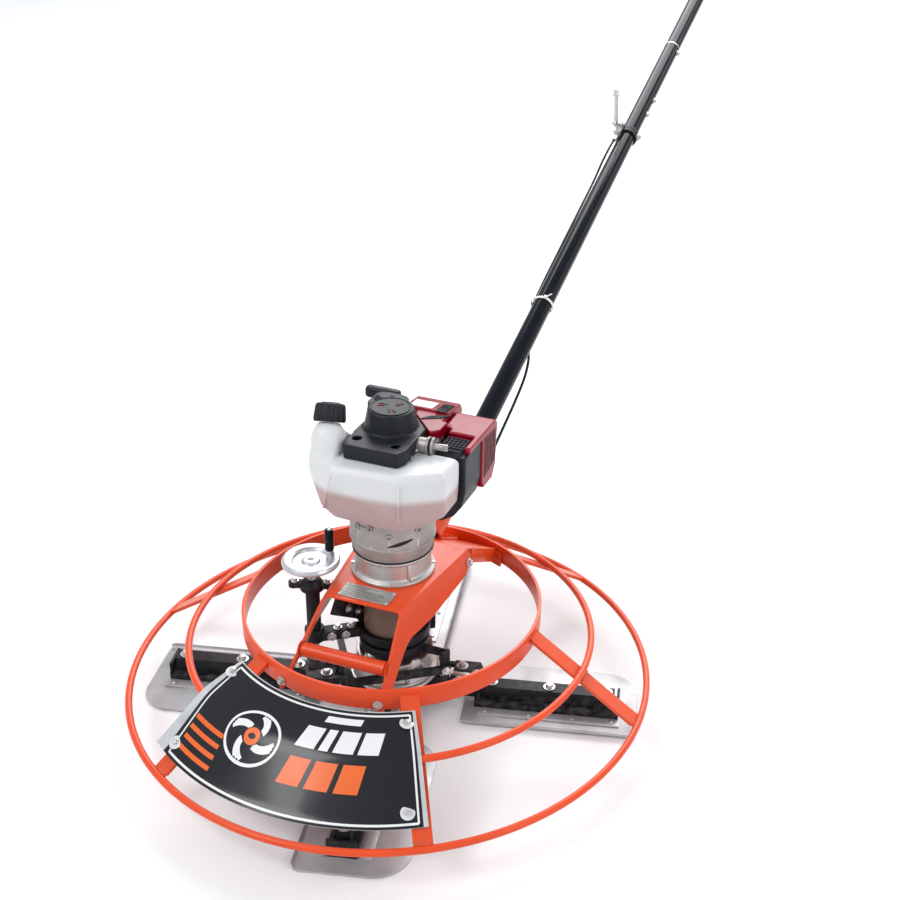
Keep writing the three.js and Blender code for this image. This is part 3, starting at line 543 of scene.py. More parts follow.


# The edge colours given to the orange, cast and black finishes are partly wear and partly a painted edge
# highlight.
FINISH = {
    "orange": surface("powder_coat", (0.76, 0.070, 0.012), 0.36, vary=0.07, grain=0.10, grain_scale=1400,
                      edge_wear_and_highlight=(0.55, 0.10, 0.04), edge_wear_and_highlight_amount=0.5, specular_ior_level=0.3, coat_weight=0.12,
                      coat_roughness=0.2),
    "blade": surface("blade_steel", (0.50, 0.50, 0.515), 0.46, 0.65, vary=0.14, vary_scale=22, grain=0.16,
                     grain_scale=500, rough_vary=0.12),
    "zinc": surface("zinc_plate", (0.62, 0.61, 0.59), 0.36, 0.9, vary=0.12, vary_scale=90, grain=0.06),
    "steel": surface("machined_steel", (0.48, 0.47, 0.46), 0.36, 1.0, vary=0.12, vary_scale=40, grain=0.06),
    "cast": surface("cast_aluminium", (0.40, 0.375, 0.36), 0.5, 0.75, vary=0.16, vary_scale=26, grain=0.4,
                    grain_scale=1100, edge_wear_and_highlight=(0.75, 0.75, 0.75), edge_wear_and_highlight_amount=0.7),
    "turned": surface("turned_aluminium", (0.55, 0.535, 0.52), 0.42, 0.85, vary=0.16, vary_scale=24,
                      grain=0.12,
                      grain_scale=420, stretch=(1, 1, 0.12)),
    "polished": surface("polished_aluminium", (0.62, 0.63, 0.65), 0.34, 0.8, vary=0.08, vary_scale=30,
                        grain=0.06),
    "greige": surface("gearbox_paint", (0.225, 0.165, 0.130), 0.5, 0.1, vary=0.08, grain=0.2, grain_scale=900,
                      specular_ior_level=0.35),
    "black": surface("black_paint", (0.009, 0.0095, 0.012), 0.45, vary=0.3, vary_scale=20, grain=0.18,
                     grain_scale=700, edge_wear_and_highlight=(0.10, 0.10, 0.10), edge_wear_and_highlight_amount=0.6, specular_ior_level=0.25),
    "moulded": surface("black_moulding", (0.010, 0.012, 0.017), 0.42, vary=0.15, grain=0.32, grain_scale=1600,
                       specular_ior_level=0.28),
    "gloss": surface("gloss_black", (0.004, 0.006, 0.010), 0.12, vary=0.2, grain=0.02, grain_scale=300,
                     rough_vary=0.04, specular_ior_level=0.12, coat_weight=0.04, coat_roughness=0.05),
    "rubber": surface("grip_rubber", (0.010, 0.010, 0.011), 0.7, vary=0.2, grain=0.4, grain_scale=1200,
                      specular_ior_level=0.25),
    "red": surface("red_moulding", (0.27, 0.001, 0.013), 0.24, vary=0.08, grain=0.06, grain_scale=1200,
                   specular_ior_level=0.2, coat_weight=0.08, coat_roughness=0.12),
    "tank": surface("tank_plastic", (0.68, 0.69, 0.695), 0.38, vary=0.03, vary_scale=9, grain=0.12,
                    grain_scale=500, detail=fuel_level, subsurface_weight=0.2, subsurface_scale=0.01,
                    specular_ior_level=0.35),
    "panel": surface("panel_film", (0.007, 0.008, 0.011), 0.24, vary=0.25, vary_scale=9, grain=0.03,
                     grain_scale=120, specular_ior_level=0.3, coat_weight=0.2, coat_roughness=0.1),
    "clear": surface("clear_margin", (0.50, 0.52, 0.53), 0.2, vary=0.12, vary_scale=40, grain=0.2,
                     grain_scale=160, coat_weight=0.5),
    "ink_white": surface("white_ink", (0.80, 0.80, 0.80), 0.3, vary=0.02, grain=0.02),
    "ink_orange": surface("orange_ink", (0.80, 0.13, 0.015), 0.3, vary=0.03, grain=0.02),
    "nylon": surface("nylon", (0.78, 0.78, 0.76), 0.42, vary=0.04, grain=0.05),
    "washer": surface("clear_washer", (0.66, 0.67, 0.68), 0.25, vary=0.08, vary_scale=70, grain=0.1,
                      coat_weight=0.5),
    "ribbed": surface("cable_cover", (0.008, 0.008, 0.010), 0.45, vary=0.2, grain=0.2, grain_scale=500,
                      specular_ior_level=0.3),
    "plate": surface("nameplate_metal", (0.46, 0.46, 0.44), 0.42, 0.7, vary=0.16, vary_scale=60, grain=0.25,
                     grain_scale=240, stretch=(1, 14, 1)),
}

# ------------------------------------------------------------------ camera, light and floor
def place_camera():
    right = Vector(CAMERA["right"]).normalized()
    ahead = Vector(CAMERA["ahead"]).normalized()
    up = right.cross(ahead).normalized()
    data = bpy.data.cameras.new("camera")
    data.sensor_width = 36
    data.lens = CAMERA["lens"]
    data.shift_x, data.shift_y = CAMERA["shift"]
    data.clip_end = 50
    camera = bpy.data.objects.new("camera", data)
    camera.matrix_world = Matrix.Translation(at(*CAMERA["place"])) @ Matrix(
        (right, up, -ahead)).transposed().to_4x4()
    bpy.context.scene.collection.objects.link(camera)
    bpy.context.scene.camera = camera


def area_light(name, place, target, size, power):
    data = bpy.data.lights.new(name, "AREA")
    data.shape = "RECTANGLE"
    data.size, data.size_y = size
    data.energy = power
    lamp = bpy.data.objects.new(name, data)
    lamp.location = place
    lamp.rotation_euler = (Vector(place) - Vector(target)).to_track_quat("Z", "Y").to_euler()
    bpy.context.scene.collection.objects.link(lamp)


def build_studio():
    scene = bpy.context.scene
    scene.view_settings.view_transform = "Standard"
    scene.view_settings.look = "None"
    world = bpy.data.worlds.new("studio")
    scene.world = world
    world.use_nodes = True
    back = world.node_tree.nodes["Background"]
    back.inputs["Color"].default_value = (0.93, 0.96, 1.0, 1)
    back.inputs["Strength"].default_value = 0.66
    area_light("key", (-1.6, -2.0, 3.2), (0, 0, 0.2), (1.8, 1.4), 62)
    area_light("fill", (2.8, -0.9, 1.9), (0, 0, 0.3), (1.2, 1.6), 24)
    area_light("back", (-0.6, 4.2, 3.6), (0, 1.6, 0), (4.0, 2.4), 190)
    area_light("horizon", (2.0, 11.0, 4.5), (2.0, 11.0, 0), (18, 9), 620)
    data = bpy.data.meshes.new("floor")
    size, height = 30, FLOOR - 0.0004
    corners = [(x * size, y * size, height) for x, y in ((-1, -1), (1, -1), (1, 1), (-1, 1))]
    data.from_pydata(corners, [], [(0, 1, 2, 3)])
    data.materials.append(surface("floor", (0.86, 0.86, 0.865), 0.62, vary=0.012, vary_scale=1.3))
    floor = bpy.data.objects.new("floor", data)
    scene.collection.objects.link(floor)
    floor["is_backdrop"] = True


def dress(name, material, bevel, segments):
    """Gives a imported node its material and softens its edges."""
    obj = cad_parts[name]
    if not obj.material_slots:
        obj.data.materials.append(material)
    for slot in obj.material_slots:
        slot.material = material
    soften(obj, bevel, segments)


# ------------------------------------------------------------------ guard cage
def build_cage():
    for name, radius, height in (("outer_ring", OUTER_RING["radius"], OUTER_RING["height"]),
                                 ("middle_ring", PANEL["crest"], RING_HEIGHT)):
        Shape().add(tube(ring_points(radius, height), RING_BAR, 20, closed=True)).build(
            name + "_bar", FINISH["orange"], "machine", "orange_powder_coat", [name], angle=60)
    rim = [(BAND["inner"], BAND["bottom"]), (BAND["outer"], BAND["bottom"]),
           (BAND["outer"], BAND["top"]), (BAND["inner"], BAND["top"])]
    band = Shape().add(wheel(rim, 0.9, 180, loop=True))
    band.build("band", FINISH["orange"], "machine", "orange_powder_coat", ["inner_band"])

    beads = Shape()
    for i in range(6):
        dress(f"spoke_{i + 1}", FINISH["orange"], 0.9, 3)
        azimuth = i * TAU / 6
        inside = (BAND["outer"] + 1) * MM
        half = SPOKE["width"] / 2 * MM
        along = heading(azimuth)
        across = Vector((-along.y, along.x, 0))
        for lift in (1.8, -3.6):
            middle = polar(0, 0, spoke_height(214) + lift) + along * inside
            beads.add(weld([middle - across * half, middle + across * half], 1.9, i))
        end = polar(SPOKE["outer"] + 2, azimuth, SPOKE["low"])
        beads.add(weld([end - across * half, end + along * 0.0008, end + across * half], 2.2, i + 2))
        crest = polar(PANEL["crest"], azimuth, spoke_height(PANEL["crest"]) + 3.8)
        for side in (-1, 1):
            ends = [crest + along * side * 0.004 - across * 0.010,
                    crest + along * side * 0.004 + across * 0.010]
            beads.add(weld(ends, 1.8, i + side))
    beads.build("cage_welds", FINISH["orange"], "machine", "orange_powder_coat", angle=50)


# ------------------------------------------------------------------ guard panel
def panel_top(radius):
    """Height of the panel's outer face: two slopes that meet in a soft bend over the middle ring."""
    face = lambda r: spoke_height(r) + SPOKE["thick"] * 0.6 + 0.5 + PANEL["thick"]
    crest_height = RING_HEIGHT + 7.3 + PANEL["thick"]
    inner, outer, crest = PANEL["inner"], PANEL["outer"], PANEL["crest"]
    if radius <= crest:
        return face(inner) + (crest_height - face(inner)) * (radius - inner) / (crest - inner)
    return crest_height + (face(outer) - crest_height) * (radius - crest) / (outer - crest)


def panel_point(u, v, lift=0.0):
    """u runs 0..1 from the left edge to the right, v 0..1 from the outer edge to the inner."""
    azimuth = math.radians(PANEL["from"] + (PANEL["to"] - PANEL["from"]) * u)
    radius = PANEL["outer"] + (PANEL["inner"] - PANEL["outer"]) * v
    soft = sum(panel_top(min(PANEL["outer"], max(PANEL["inner"], radius + k * 3))) for k in range(-3, 4)) / 7
    return polar(radius, azimuth, soft + lift)


def patch(corners, lift, steps=(24, 10)):
    """A thin printed patch on the panel between four (u, v) corners, anticlockwise."""
    a, b, c, d = (Vector(p) for p in corners)
    mesh = bmesh.new()
    across, along = steps
    grid = []
    for j in range(along + 1):
        low, high = a.lerp(d, j / along), b.lerp(c, j / along)
        row = []
        for i in range(across + 1):
            spot = low.lerp(high, i / across)
            row.append(mesh.verts.new(panel_point(spot.x, spot.y, lift)))
        grid.append(row)
    for j in range(along):
        for i in range(across):
            mesh.faces.new((grid[j][i], grid[j][i + 1], grid[j + 1][i + 1], grid[j + 1][i]))
    return facing_up(mesh)


def strip(line, width, lift):
    """A printed line of even width through (u, v) points."""
    spots = [panel_point(u, v, lift) for u, v in line]
    mesh = bmesh.new()
    rows = []
    for i, spot in enumerate(spots):
        way = (spots[min(i + 1, len(spots) - 1)] - spots[max(i - 1, 0)]).normalized()
        side = way.cross(UP).normalized() * width * MM / 2
        u = line[i][0]
        left, right = spot - side, spot + side
        for place in (left, right):
            radius = math.hypot(place.x, place.y) / MM
            inside = min(PANEL["outer"], max(PANEL["inner"], radius))
            place.z = panel_point(u, (PANEL["outer"] - inside) / (PANEL["outer"] - PANEL["inner"]), lift).z
        rows.append((mesh.verts.new(left), mesh.verts.new(right)))
    for one, two in zip(rows, rows[1:]):
        mesh.faces.new((one[0], one[1], two[1], two[0]))
    return facing_up(mesh)


def build_panel():
    mesh = patch([(0, 0), (1, 0), (1, 1), (0, 1)], 0, (96, 42))
    sheet = Shape().add(mesh).build("guard_sheet", FINISH["clear"], "machine", "guard_panel_plastic",
                                    ["guard_panel"], angle=40)
    thicken(sheet, PANEL["thick"])
    soften(sheet, 0.4, 2, 50)

    # Black field inside a clear margin, a white rule inside that, and a plain emblem.
    art = Shape()
    art.add(patch([(0.055, 0.0), (0.985, 0.0), (0.985, 0.985), (0.02, 0.985)], 0.12, (80, 36)), mark=0)
    edges = {"left": 0.075, "right": 0.972, "low": 0.035, "high": 0.945}
    corner = lambda t, a, b: a + (b - a) * t
    steps = [k / 40 for k in range(41)]
    art.add(strip([(corner(t, edges["left"], edges["right"]), edges["low"]) for t in steps], 2.6, 0.3),
            mark=1)
    art.add(strip([(corner(t, edges["left"] - 0.035, edges["right"]), edges["high"]) for t in steps], 2.6,
                  0.3), mark=1)
    art.add(strip([(edges["right"], corner(t, edges["low"], edges["high"])) for t in steps], 2.6, 0.3),
            mark=1)
    art.add(strip([(corner(t, edges["left"], edges["left"] - 0.035), corner(t, edges["low"], edges["high"]))
                   for t in steps], 2.6, 0.3), mark=1)
    for k in range(4):
        v = 0.13 + 0.085 * k
        art.add(strip([(0.09 + 0.165 * j / 12 - 0.006 * k, v) for j in range(13)], 4.6, 0.32), mark=2)
    # The emblem: a ring with four swept vanes.
    middle, reach = (0.345, 0.50), 0.115
    aspect = 1.95
    spot = lambda radius, turn: (middle[0] + radius * math.cos(turn),
                                 middle[1] + aspect * radius * math.sin(turn))
    art.add(strip([spot(reach, TAU * k / 60) for k in range(61)], 3.4, 0.32), mark=1)
    art.add(strip([spot(reach * 0.22, TAU * k / 30) for k in range(31)], 6.0, 0.32), mark=2)
    for k in range(4):
        turn = TAU * k / 4 + 0.5
        for shift in (0.0, 0.14, 0.28):
            vane = [spot(reach * (0.38 + 0.48 * t),
                         turn + shift + 0.8 * t) for t in [j / 10 for j in range(11)]]
            art.add(strip(vane, 4.6, 0.32), mark=1)
    # Slanted blocks in two rows.
    for row, (v, height, mark, starts) in enumerate(((0.555, 0.215, 1, (0.52, 0.615, 0.67, 0.765)),
                                                     (0.255, 0.215, 2, (0.50, 0.60, 0.70)))):
        for k, start in enumerate(starts):
            width = (0.078, 0.036, 0.078, 0.078)[k] if row == 0 else 0.08
            lean = 0.022
            art.add(patch([(start, v), (start + width, v), (start + width + lean, v + height),
                           (start + lean, v + height)], 0.32, (6, 8)), mark=mark)
    art.add(patch([(0.60, 0.835), (0.76, 0.835), (0.77, 0.90), (0.61, 0.90)], 0.32, (8, 3)), mark=1)
    art.build("guard_print", [FINISH["panel"], FINISH["ink_white"], FINISH["ink_orange"]],
              "machine", "guard_panel_plastic", angle=50)

    washers, screws = Shape(), Shape()
    button = Shape().add(wheel([(0, 0), (4.6, 0), (4.6, 1.2), (3.4, 2.7), (0, 3.2)], 0.4, 28))
    rings = Shape().add(wheel([(3, 0), (9.5, 0), (9.5, 1.0), (3, 1.4)], 0.35, 40, loop=True))
    for u, v in ((0.075, 0.12), (0.03, 0.86), (0.94, 0.12), (0.955, 0.86)):
        place = panel_point(u, v, 0.4)
        normal = (panel_point(u + 0.01, v) - place).cross(panel_point(u, v + 0.01) - place)
        normal = normal if normal.z > 0 else -normal
        stamp(washers, rings, aim(place, normal))
        stamp(screws, button, aim(place + normal.normalized() * 0.0008, normal))
        stamp(screws, hex_head(7, 2.2), aim(place + normal.normalized() * 0.003, normal, u * 9))
    washers.build("panel_washers", FINISH["washer"], "machine", "zinc_steel")
    screws.build("panel_screws", FINISH["zinc"], "machine", "zinc_steel")


# ------------------------------------------------------------------ engine frame
def cheek_x(y, z):
    return FRAME["half"] + (y - FRAME["front"]) * FRAME["flare"] + (FRAME["top"] - z) * FRAME["splay"]


def rear_height(y):
    return FRAME["top"] - (y - FRAME["rear"]) * 0.59


def build_frame():
    """One folded sheet: the top, the two cheeks with their front legs and the rear slope."""
    mesh = bmesh.new()
    cheek = [(-100, 228), (-204, 143), (-205, 139), (-184, 139), (-121, 178), (-108, 184), (-96, 187),
             (-38, 186), (60, 196), (84.5, 210), (85, 228)]
    verts = {}

    def vert(x, y, z):
        key = (round(x, 3), round(y, 3), round(z, 3))
        if key not in verts:
            verts[key] = mesh.verts.new(at(x, y, z))
        return verts[key]

    for side in (-1, 1):
        loop = [vert(side * cheek_x(y, z), y, z) for y, z in cheek]
        mesh.faces.new(loop if side > 0 else loop[::-1])
    top = FRAME["top"]
    front = [vert(s * cheek_x(FRAME["front"], top), FRAME["front"], top) for s in (-1, 1)]
    rear = [vert(s * cheek_x(FRAME["rear"], top), FRAME["rear"], top) for s in (1, -1)]
    mesh.faces.new(front + rear)
    slope = []
    reach = BAND["inner"] - 0.5
    for k in range(25):
        azimuth = math.radians(65.65 + (180 - 2 * 65.65) * k / 24)
        x, y = reach * math.cos(azimuth), reach * math.sin(azimuth)
        slope.append(vert(x, y, rear_height(y)))
    mesh.faces.new([rear[0], vert(86, 98, rear_height(98)), *slope, vert(-86, 98, rear_height(98)), rear[1]])
    settled(mesh)
    if next(f for f in mesh.faces if len(f.verts) == 4).normal.z < 0:
        bmesh.ops.reverse_faces(mesh, faces=mesh.faces)
    folds = [e for e in mesh.edges if len(e.link_faces) == 2]
    bmesh.ops.bevel(mesh, geom=folds, offset=7 * MM, segments=5, profile=0.5, affect="EDGES")
    sheet = Shape().add(mesh).build("frame_sheet", FINISH["orange"], "machine", "orange_powder_coat",
                                    ["frame_plate", "frame_cheek_right", "frame_cheek_left"], angle=40)
    thicken(sheet, FRAME["sheet"], even=True)
    soften(sheet, 0.7, 2, 50)

    tabs = Shape()
    lower = lambda y: rear_height(y) - 25
    for side in (-1, 1):
        edge = [(86, rear_height(86) - 0.6), (86, lower(86)), (177, lower(177)), (183, lower(177)),
                (186.5, rear_height(186.5) - 0.6)]
        wall = prism(edge, 0, 3.6, 0.7)
        place = Matrix(((0, 0, side, 0), (1, 0, 0, 0), (0, 1, 0, 0), (0, 0, 0, 1)))
        tabs.add(wall, Matrix.Translation((side * 82.3 * MM, 0, FLOOR)) @ place)
        tabs.add(weld([at(side * 84.5, y, rear_height(y) - 0.2) for y in (92, 110, 130, 150, 170, 184)], 1.3,
                      side))
    foot = lambda low, high, z0, z1: prism(
        [(r * math.cos(a), r * math.sin(a)) for r, a in
         [(BAND["inner"] - 0.4, math.radians(low + (high - low) * k / 8)) for k in range(9)]
         + [(BAND["inner"] - 5, math.radians(high - (high - low) * k / 8)) for k in range(9)]], z0, z1, 0.6)
    for low, high, z0, z1 in ((62, 70, 140, 163), (86, 94, 140, 163), (110, 118, 140, 163),
                              (-74, -64.5, 139, 163), (-115.5, -106, 139, 163)):
        tabs.add(foot(low, high, z0, z1), GROUND)
    for side in (-1, 1):
        seam = [at(side * (cheek_x(y, 142) + 0.5), y, 142) for y in (-184, -194, -203)]
        tabs.add(weld(seam, 2.2, side))
        a = at(side * (cheek_x(*CROSSBAR) - 4), *CROSSBAR)
        collar = [a + Vector((0, math.cos(TAU * k / 24),
                              math.sin(TAU * k / 24))) * 10.5 * MM for k in range(25)]
        tabs.add(weld(collar, 1.8, side + 3))
    tabs.build("frame_tabs", FINISH["orange"], "machine", "orange_powder_coat")

    reach = cheek_x(CROSSBAR[0], CROSSBAR[1] + 10) - FRAME["sheet"] - 0.4
    Shape().add(tube([at(x, *CROSSBAR) for x in (-reach, 0, reach)], 10, 40)).build(
        "crossbar_tube", FINISH["orange"], "machine", "orange_powder_coat", ["crossbar"], angle=50)

    plate = Shape().add(prism(round_rect(-40.5, 34.5, -94.5, -63.5, 1.5), 228.4, 229.5, 0.25),
                        GROUND)
    plate.build("name_plate", FINISH["plate"], "machine", "cast_aluminium", ["nameplate"])
    lines = Shape()
    for row, (x0, x1) in enumerate(((-34, 10), (-34, -6), (-34, 22), (-34, 22), (-34, 16), (-34, 22))):
        y = -68.5 - row * 4.3
        lines.add(prism(round_rect(x0, x1, y - 0.45, y + 0.45, 0.3, 2), 229.45, 229.62),
                  GROUND)
    lines.build("name_plate_rules", FINISH["black"], "machine", "black_plastic")
    rivets = Shape()
    dome = [(0, 0), (2.6, 0), (2.3, 1.1), (1.2, 1.8), (0, 2.0)]
    for x in (-37.5, 31.5):
        for y in (-91.5, -66.5):
            rivets.add(wheel(dome, 0.3, 20), Matrix.Translation(at(x, y, 229.4)))
    rivets.build("name_plate_rivets", FINISH["zinc"], "machine", "zinc_steel")

    wing = Vector((1, -FRAME["flare"], FRAME["splay"]))
    places = [(at(cheek_x(75, 209) + 0.4, 75, 209), wing),
              (at(-cheek_x(75, 209) - 0.4, 75, 209), Vector((-wing.x, wing.y, wing.z)))]
    for azimuth in (-71, -109, 66, 90, 114):
        a = math.radians(azimuth)
        places.append((polar(BAND["outer"] + 0.2, a, 151.5), heading(a)))
    bolts("frame_bolts", places, "machine", 8, 3.8, 6.5)


# ------------------------------------------------------------------ gearbox, spacer and clutch case
def turned_ribs(count, radius, low, high, depth, width, offset=0.0):
    """Upright ribs around a round case."""
    ribs = Shape()
    for k in range(count):
        turn = Matrix.Rotation(TAU * k / count + offset, 4, "Z")
        ribs.add(prism([(radius - 2, -width / 2), (radius + depth, -width / 2), (radius + depth, width / 2),
                        (radius - 2, width / 2)], low, high, 0.7), GROUND @ turn)
    return ribs


def upright(mesh_profile, radius=0.8, segments=96, loop=False):
    """A lathe given with heights above the floor."""
    return wheel([(r, z + FLOOR / MM) for r, z in mesh_profile], radius, segments, loop)


def build_drive():
    housing = upright([(40, 113), (44, 113), (44, 214), (45.5, 219.6), (56, 219.6), (56, 223.4),
                       (40, 223.4)], 1.2, loop=True)
    Shape().add(housing).build("gearbox_shell", FINISH["greige"], "machine", "grey_gearbox_paint",
                               ["gearbox_housing"])
    plug = Shape()
    azimuth = math.radians(-88)
    plug.add(wheel([(0, 0), (3.6, 0), (3.6, 1.0), (1.8, 1.0), (1.6, 0.2), (0, 0.2)], 0.2, 24),
             aim(polar(43.9, azimuth, 121), heading(azimuth)))
    plug.build("gearbox_plug", FINISH["black"], "machine", "black_painted_steel")

    nose = Shape().add(upright([(12.1, 96), (47, 96), (51, 100), (51, 112.6), (12.1, 112.6)], 1.2, loop=True))
    for side in (-1, 1):
        y = side * 53.5
        nose.add(beam(from_lever(-30, y * 0.55, 102), from_lever(-64, y, 102), 8, 10))
        nose.add(beam(from_lever(-64, y, 72), from_lever(-64, y, 107), 7, 14, LEVER_WAY))
        nose.add(tube([from_lever(-64, y, 78), from_lever(-64, side * 66, 78)], 3.6, 24))
    nose.build("nose", FINISH["black"], "machine", "black_painted_steel", ["gearbox_nose"])

    s = [(42, 228.3), (59.5, 228.3), (59.5, 232.8), (54.5, 235.5), (53.5, 238), (53.5, 259), (56.5, 262.5),
         (56.5, 266), (42, 266)]
    spacer = Shape().add(upright(s, 1.4, 120, loop=True))
    ribs = turned_ribs(4, 53, 232, 262, 4.5, 4, math.radians(-42))
    stamp(spacer, ribs)
    spacer.build("spacer", FINISH["turned"], "machine", "cast_aluminium", ["spacer_flange"])
    places = [(polar(56.6, math.radians(-86 + 90 * k) + 0.32, 233.0), UP) for k in range(4)]
    bolts("spacer_bolts", places, "machine", 5.5, 2.6, 0)
    screws = []
    for k in range(4):
        azimuth = math.radians(-78 + 90 * k)
        screws.append((polar(56.2, azimuth, 263.8), heading(azimuth)))
    bolts("spacer_screws", screws, "machine", 4, 1.6, 0)

    c = [(47, 266.3), (56, 266.3), (56, 271), (57, 272.5), (59.5, 288), (59.5, 330), (8, 330), (8, 323),
         (47, 323)]
    case = Shape().add(upright(c, 1.4, 120, loop=True))
    case.add(upright([(58, 284.5), (60.4, 286), (60.4, 289.5), (58, 291)], 0.6, 120, loop=True))
    for azimuth, height in ((-118, 318), (-96, 322), (-70, 312), (-30, 318), (10, 318), (60, 318),
                            (130, 318), (190, 318)):
        a = math.radians(azimuth)
        case.add(wheel([(0, -8), (5, -8), (5, 1.8), (2.6, 1.8), (2.3, -1.5), (0, -1.5)], 0.5, 32),
                 aim(polar(60, a, height), heading(a)))
        case.add(tube([polar(57.5, a, height - 3), polar(57.5, a, 290)], 2.4, 12))
    arc = [polar(59.8, math.radians(-118 + 22 * k / 10), 318 + 4 * k / 10) for k in range(11)]
    case.add(tube(arc, 1.4, 10))
    case.build("clutch_shell", FINISH["cast"], "machine", "cast_aluminium", ["clutch_case"])
    seam = Shape().add(upright([(55, 266.0), (57.2, 266.0), (57.2, 268.2), (55, 268.2)], 0.4, 96, loop=True))
    slot = [polar(59.2 + 0.5, math.radians(-72 + 34 * k / 12), 296 + 9 * k / 12) for k in range(13)]
    seam.add(tube(slot, 1.8, 12, radii=[0.4 + 2.1 * math.sin(math.pi * (k + 0.5) / 13.5) for k in range(13)]))
    seam.build("clutch_seam", FINISH["black"], "machine", "black_painted_steel")
    for name in ("ring_gear", "sun_shaft", "crankshaft", "planet_carrier",
                 "planet_gear_1", "planet_gear_2", "planet_gear_3"):
        dress(name, FINISH["steel"], 0.25, 1)


# ------------------------------------------------------------------ rotor
def rotor_turn(index=0):
    return Matrix.Rotation(ROTOR_REST + index * TAU / 4, 4, "Z")


def build_rotor():
    hub = Shape().add(upright([(12.1, 8), (34, 8), (36, 10), (36, 43), (12.1, 43)], 1.5, 72, loop=True),
                      rotor_turn())
    for k in range(4):
        tube_wall = carved(prism(round_rect(20, 80, -15.5, 15.5, 2, 3), 9.5, 40.5, 1.2),
                           [(wheel([(0, 0), (10.4, 0), (10.4, 70), (0, 70)], 0.1, 32),
                             aim(Vector((34 * MM, 0, 25 * MM)), (1, 0, 0)))])
        hub.add(tube_wall, GROUND @ rotor_turn(k))
    hub.build("spider", FINISH["black"], "rotor", "black_painted_steel", ["spider_hub"])
    places = []
    for k in range(4):
        turn = rotor_turn(k)
        for x in (52, 70):
            places.append((turn @ at(x, 0, 40.4), UP))
    bolts("spider_bolts", places, "rotor", 8, 2.6, 0)

    for k in range(4):
        build_arm(k)


def build_arm(k):
    turn = rotor_turn(k)
    body = f"arm_{k + 1}_pitch"
    dress(f"arm_{k + 1}", FINISH["black"], 0.9, 2)

    outline = [(106, -51), (365, -51)]
    for middle, start in ((317, 0), (154, 90)):
        for i in range(16):
            bend = math.radians(start + 6 * i)
            outline.append((middle + 48 * math.cos(bend), 40 + 48 * math.sin(bend)))
    blade = Shape().add(prism(outline, 0, 3, 0.4), GROUND @ turn)
    # The leading edge turns up in a smooth roll.
    roll = [(-51, 0.0), (-54, 0.4), (-57, 2.0), (-59.4, 4.4), (-61, 6.5), (-59.1, 8.9), (-57, 6.4),
            (-55, 4.2), (-53, 3.2), (-51, 3.0)]
    lip = bmesh.new()
    rows = []
    for x, trim in ((107.5, 0), (113, 1), (358, 1), (363.5, 0)):
        rows.append([lip.verts.new(at(x, y if trim else max(y, -56), z)) for y, z in roll])
    blade.add(skin(lip, rows), turn)
    blade.build(f"blade_{k + 1}_plate", FINISH["blade"], body, "blade_steel", [f"blade_{k + 1}"], angle=40)

    strip_shape = Shape()
    for y in (-31, 31):
        strip_shape.add(prism(round_rect(128, 340, y - 8, y + 8, 2, 3), 3.05, 5.4, 0.5),
                        GROUND @ turn)
    strip_shape.build(f"blade_{k + 1}_strips", FINISH["blade"], body, "blade_steel")
    rivets = Shape()
    for y in (-31, 31):
        for x in (140, 205, 270, 328):
            rivets.add(wheel([(0, 0), (3.4, 0), (2.8, 1.3), (1.4, 2.1), (0, 2.3)], 0.3, 20),
                       turn @ Matrix.Translation(at(x, y, 5.3)))
    rivets.build(f"blade_{k + 1}_rivets", FINISH["zinc"], body, "zinc_steel")

    places = [(turn @ at(x, y, z), UP) for x, y, z in (
        (146, 0, 36.2), (232, 0, 36.2), (318, 0, 36.2), (98, -14, 43.2), (98, 22, 43.2), (122, 4, 43.2))]
    bolts(f"arm_{k + 1}_bolts", places, body, 10, 5, 9)
    extra = Shape()
    extra.add(prism(round_rect(86, 112, -3, 5, 1, 2), 43.1, 45.6, 0.4), GROUND @ turn)
    extra.add(tube([turn @ at(60, 29, 41), turn @ at(60, 29, 48.8)], 3.4, 18))
    extra.build(f"arm_{k + 1}_key", FINISH["zinc"], body, "zinc_steel")
    black = Shape()
    for x in (128, 336):
        black.add(prism(round_rect(x - 2, x + 2, -19.5, 19.5, 0.8, 2), 14, 31, 0.5), GROUND @ turn)
    black.build(f"arm_{k + 1}_ends", FINISH["black"], body, "black_painted_steel")


# ------------------------------------------------------------------ pitch control
SCREW_PLACE = (SCREW_REACH * math.cos(SCREW_AZIMUTH), SCREW_REACH * math.sin(SCREW_AZIMUTH))


def by_screw(height=0.0):
    return Matrix.Translation(at(*SCREW_PLACE, height))


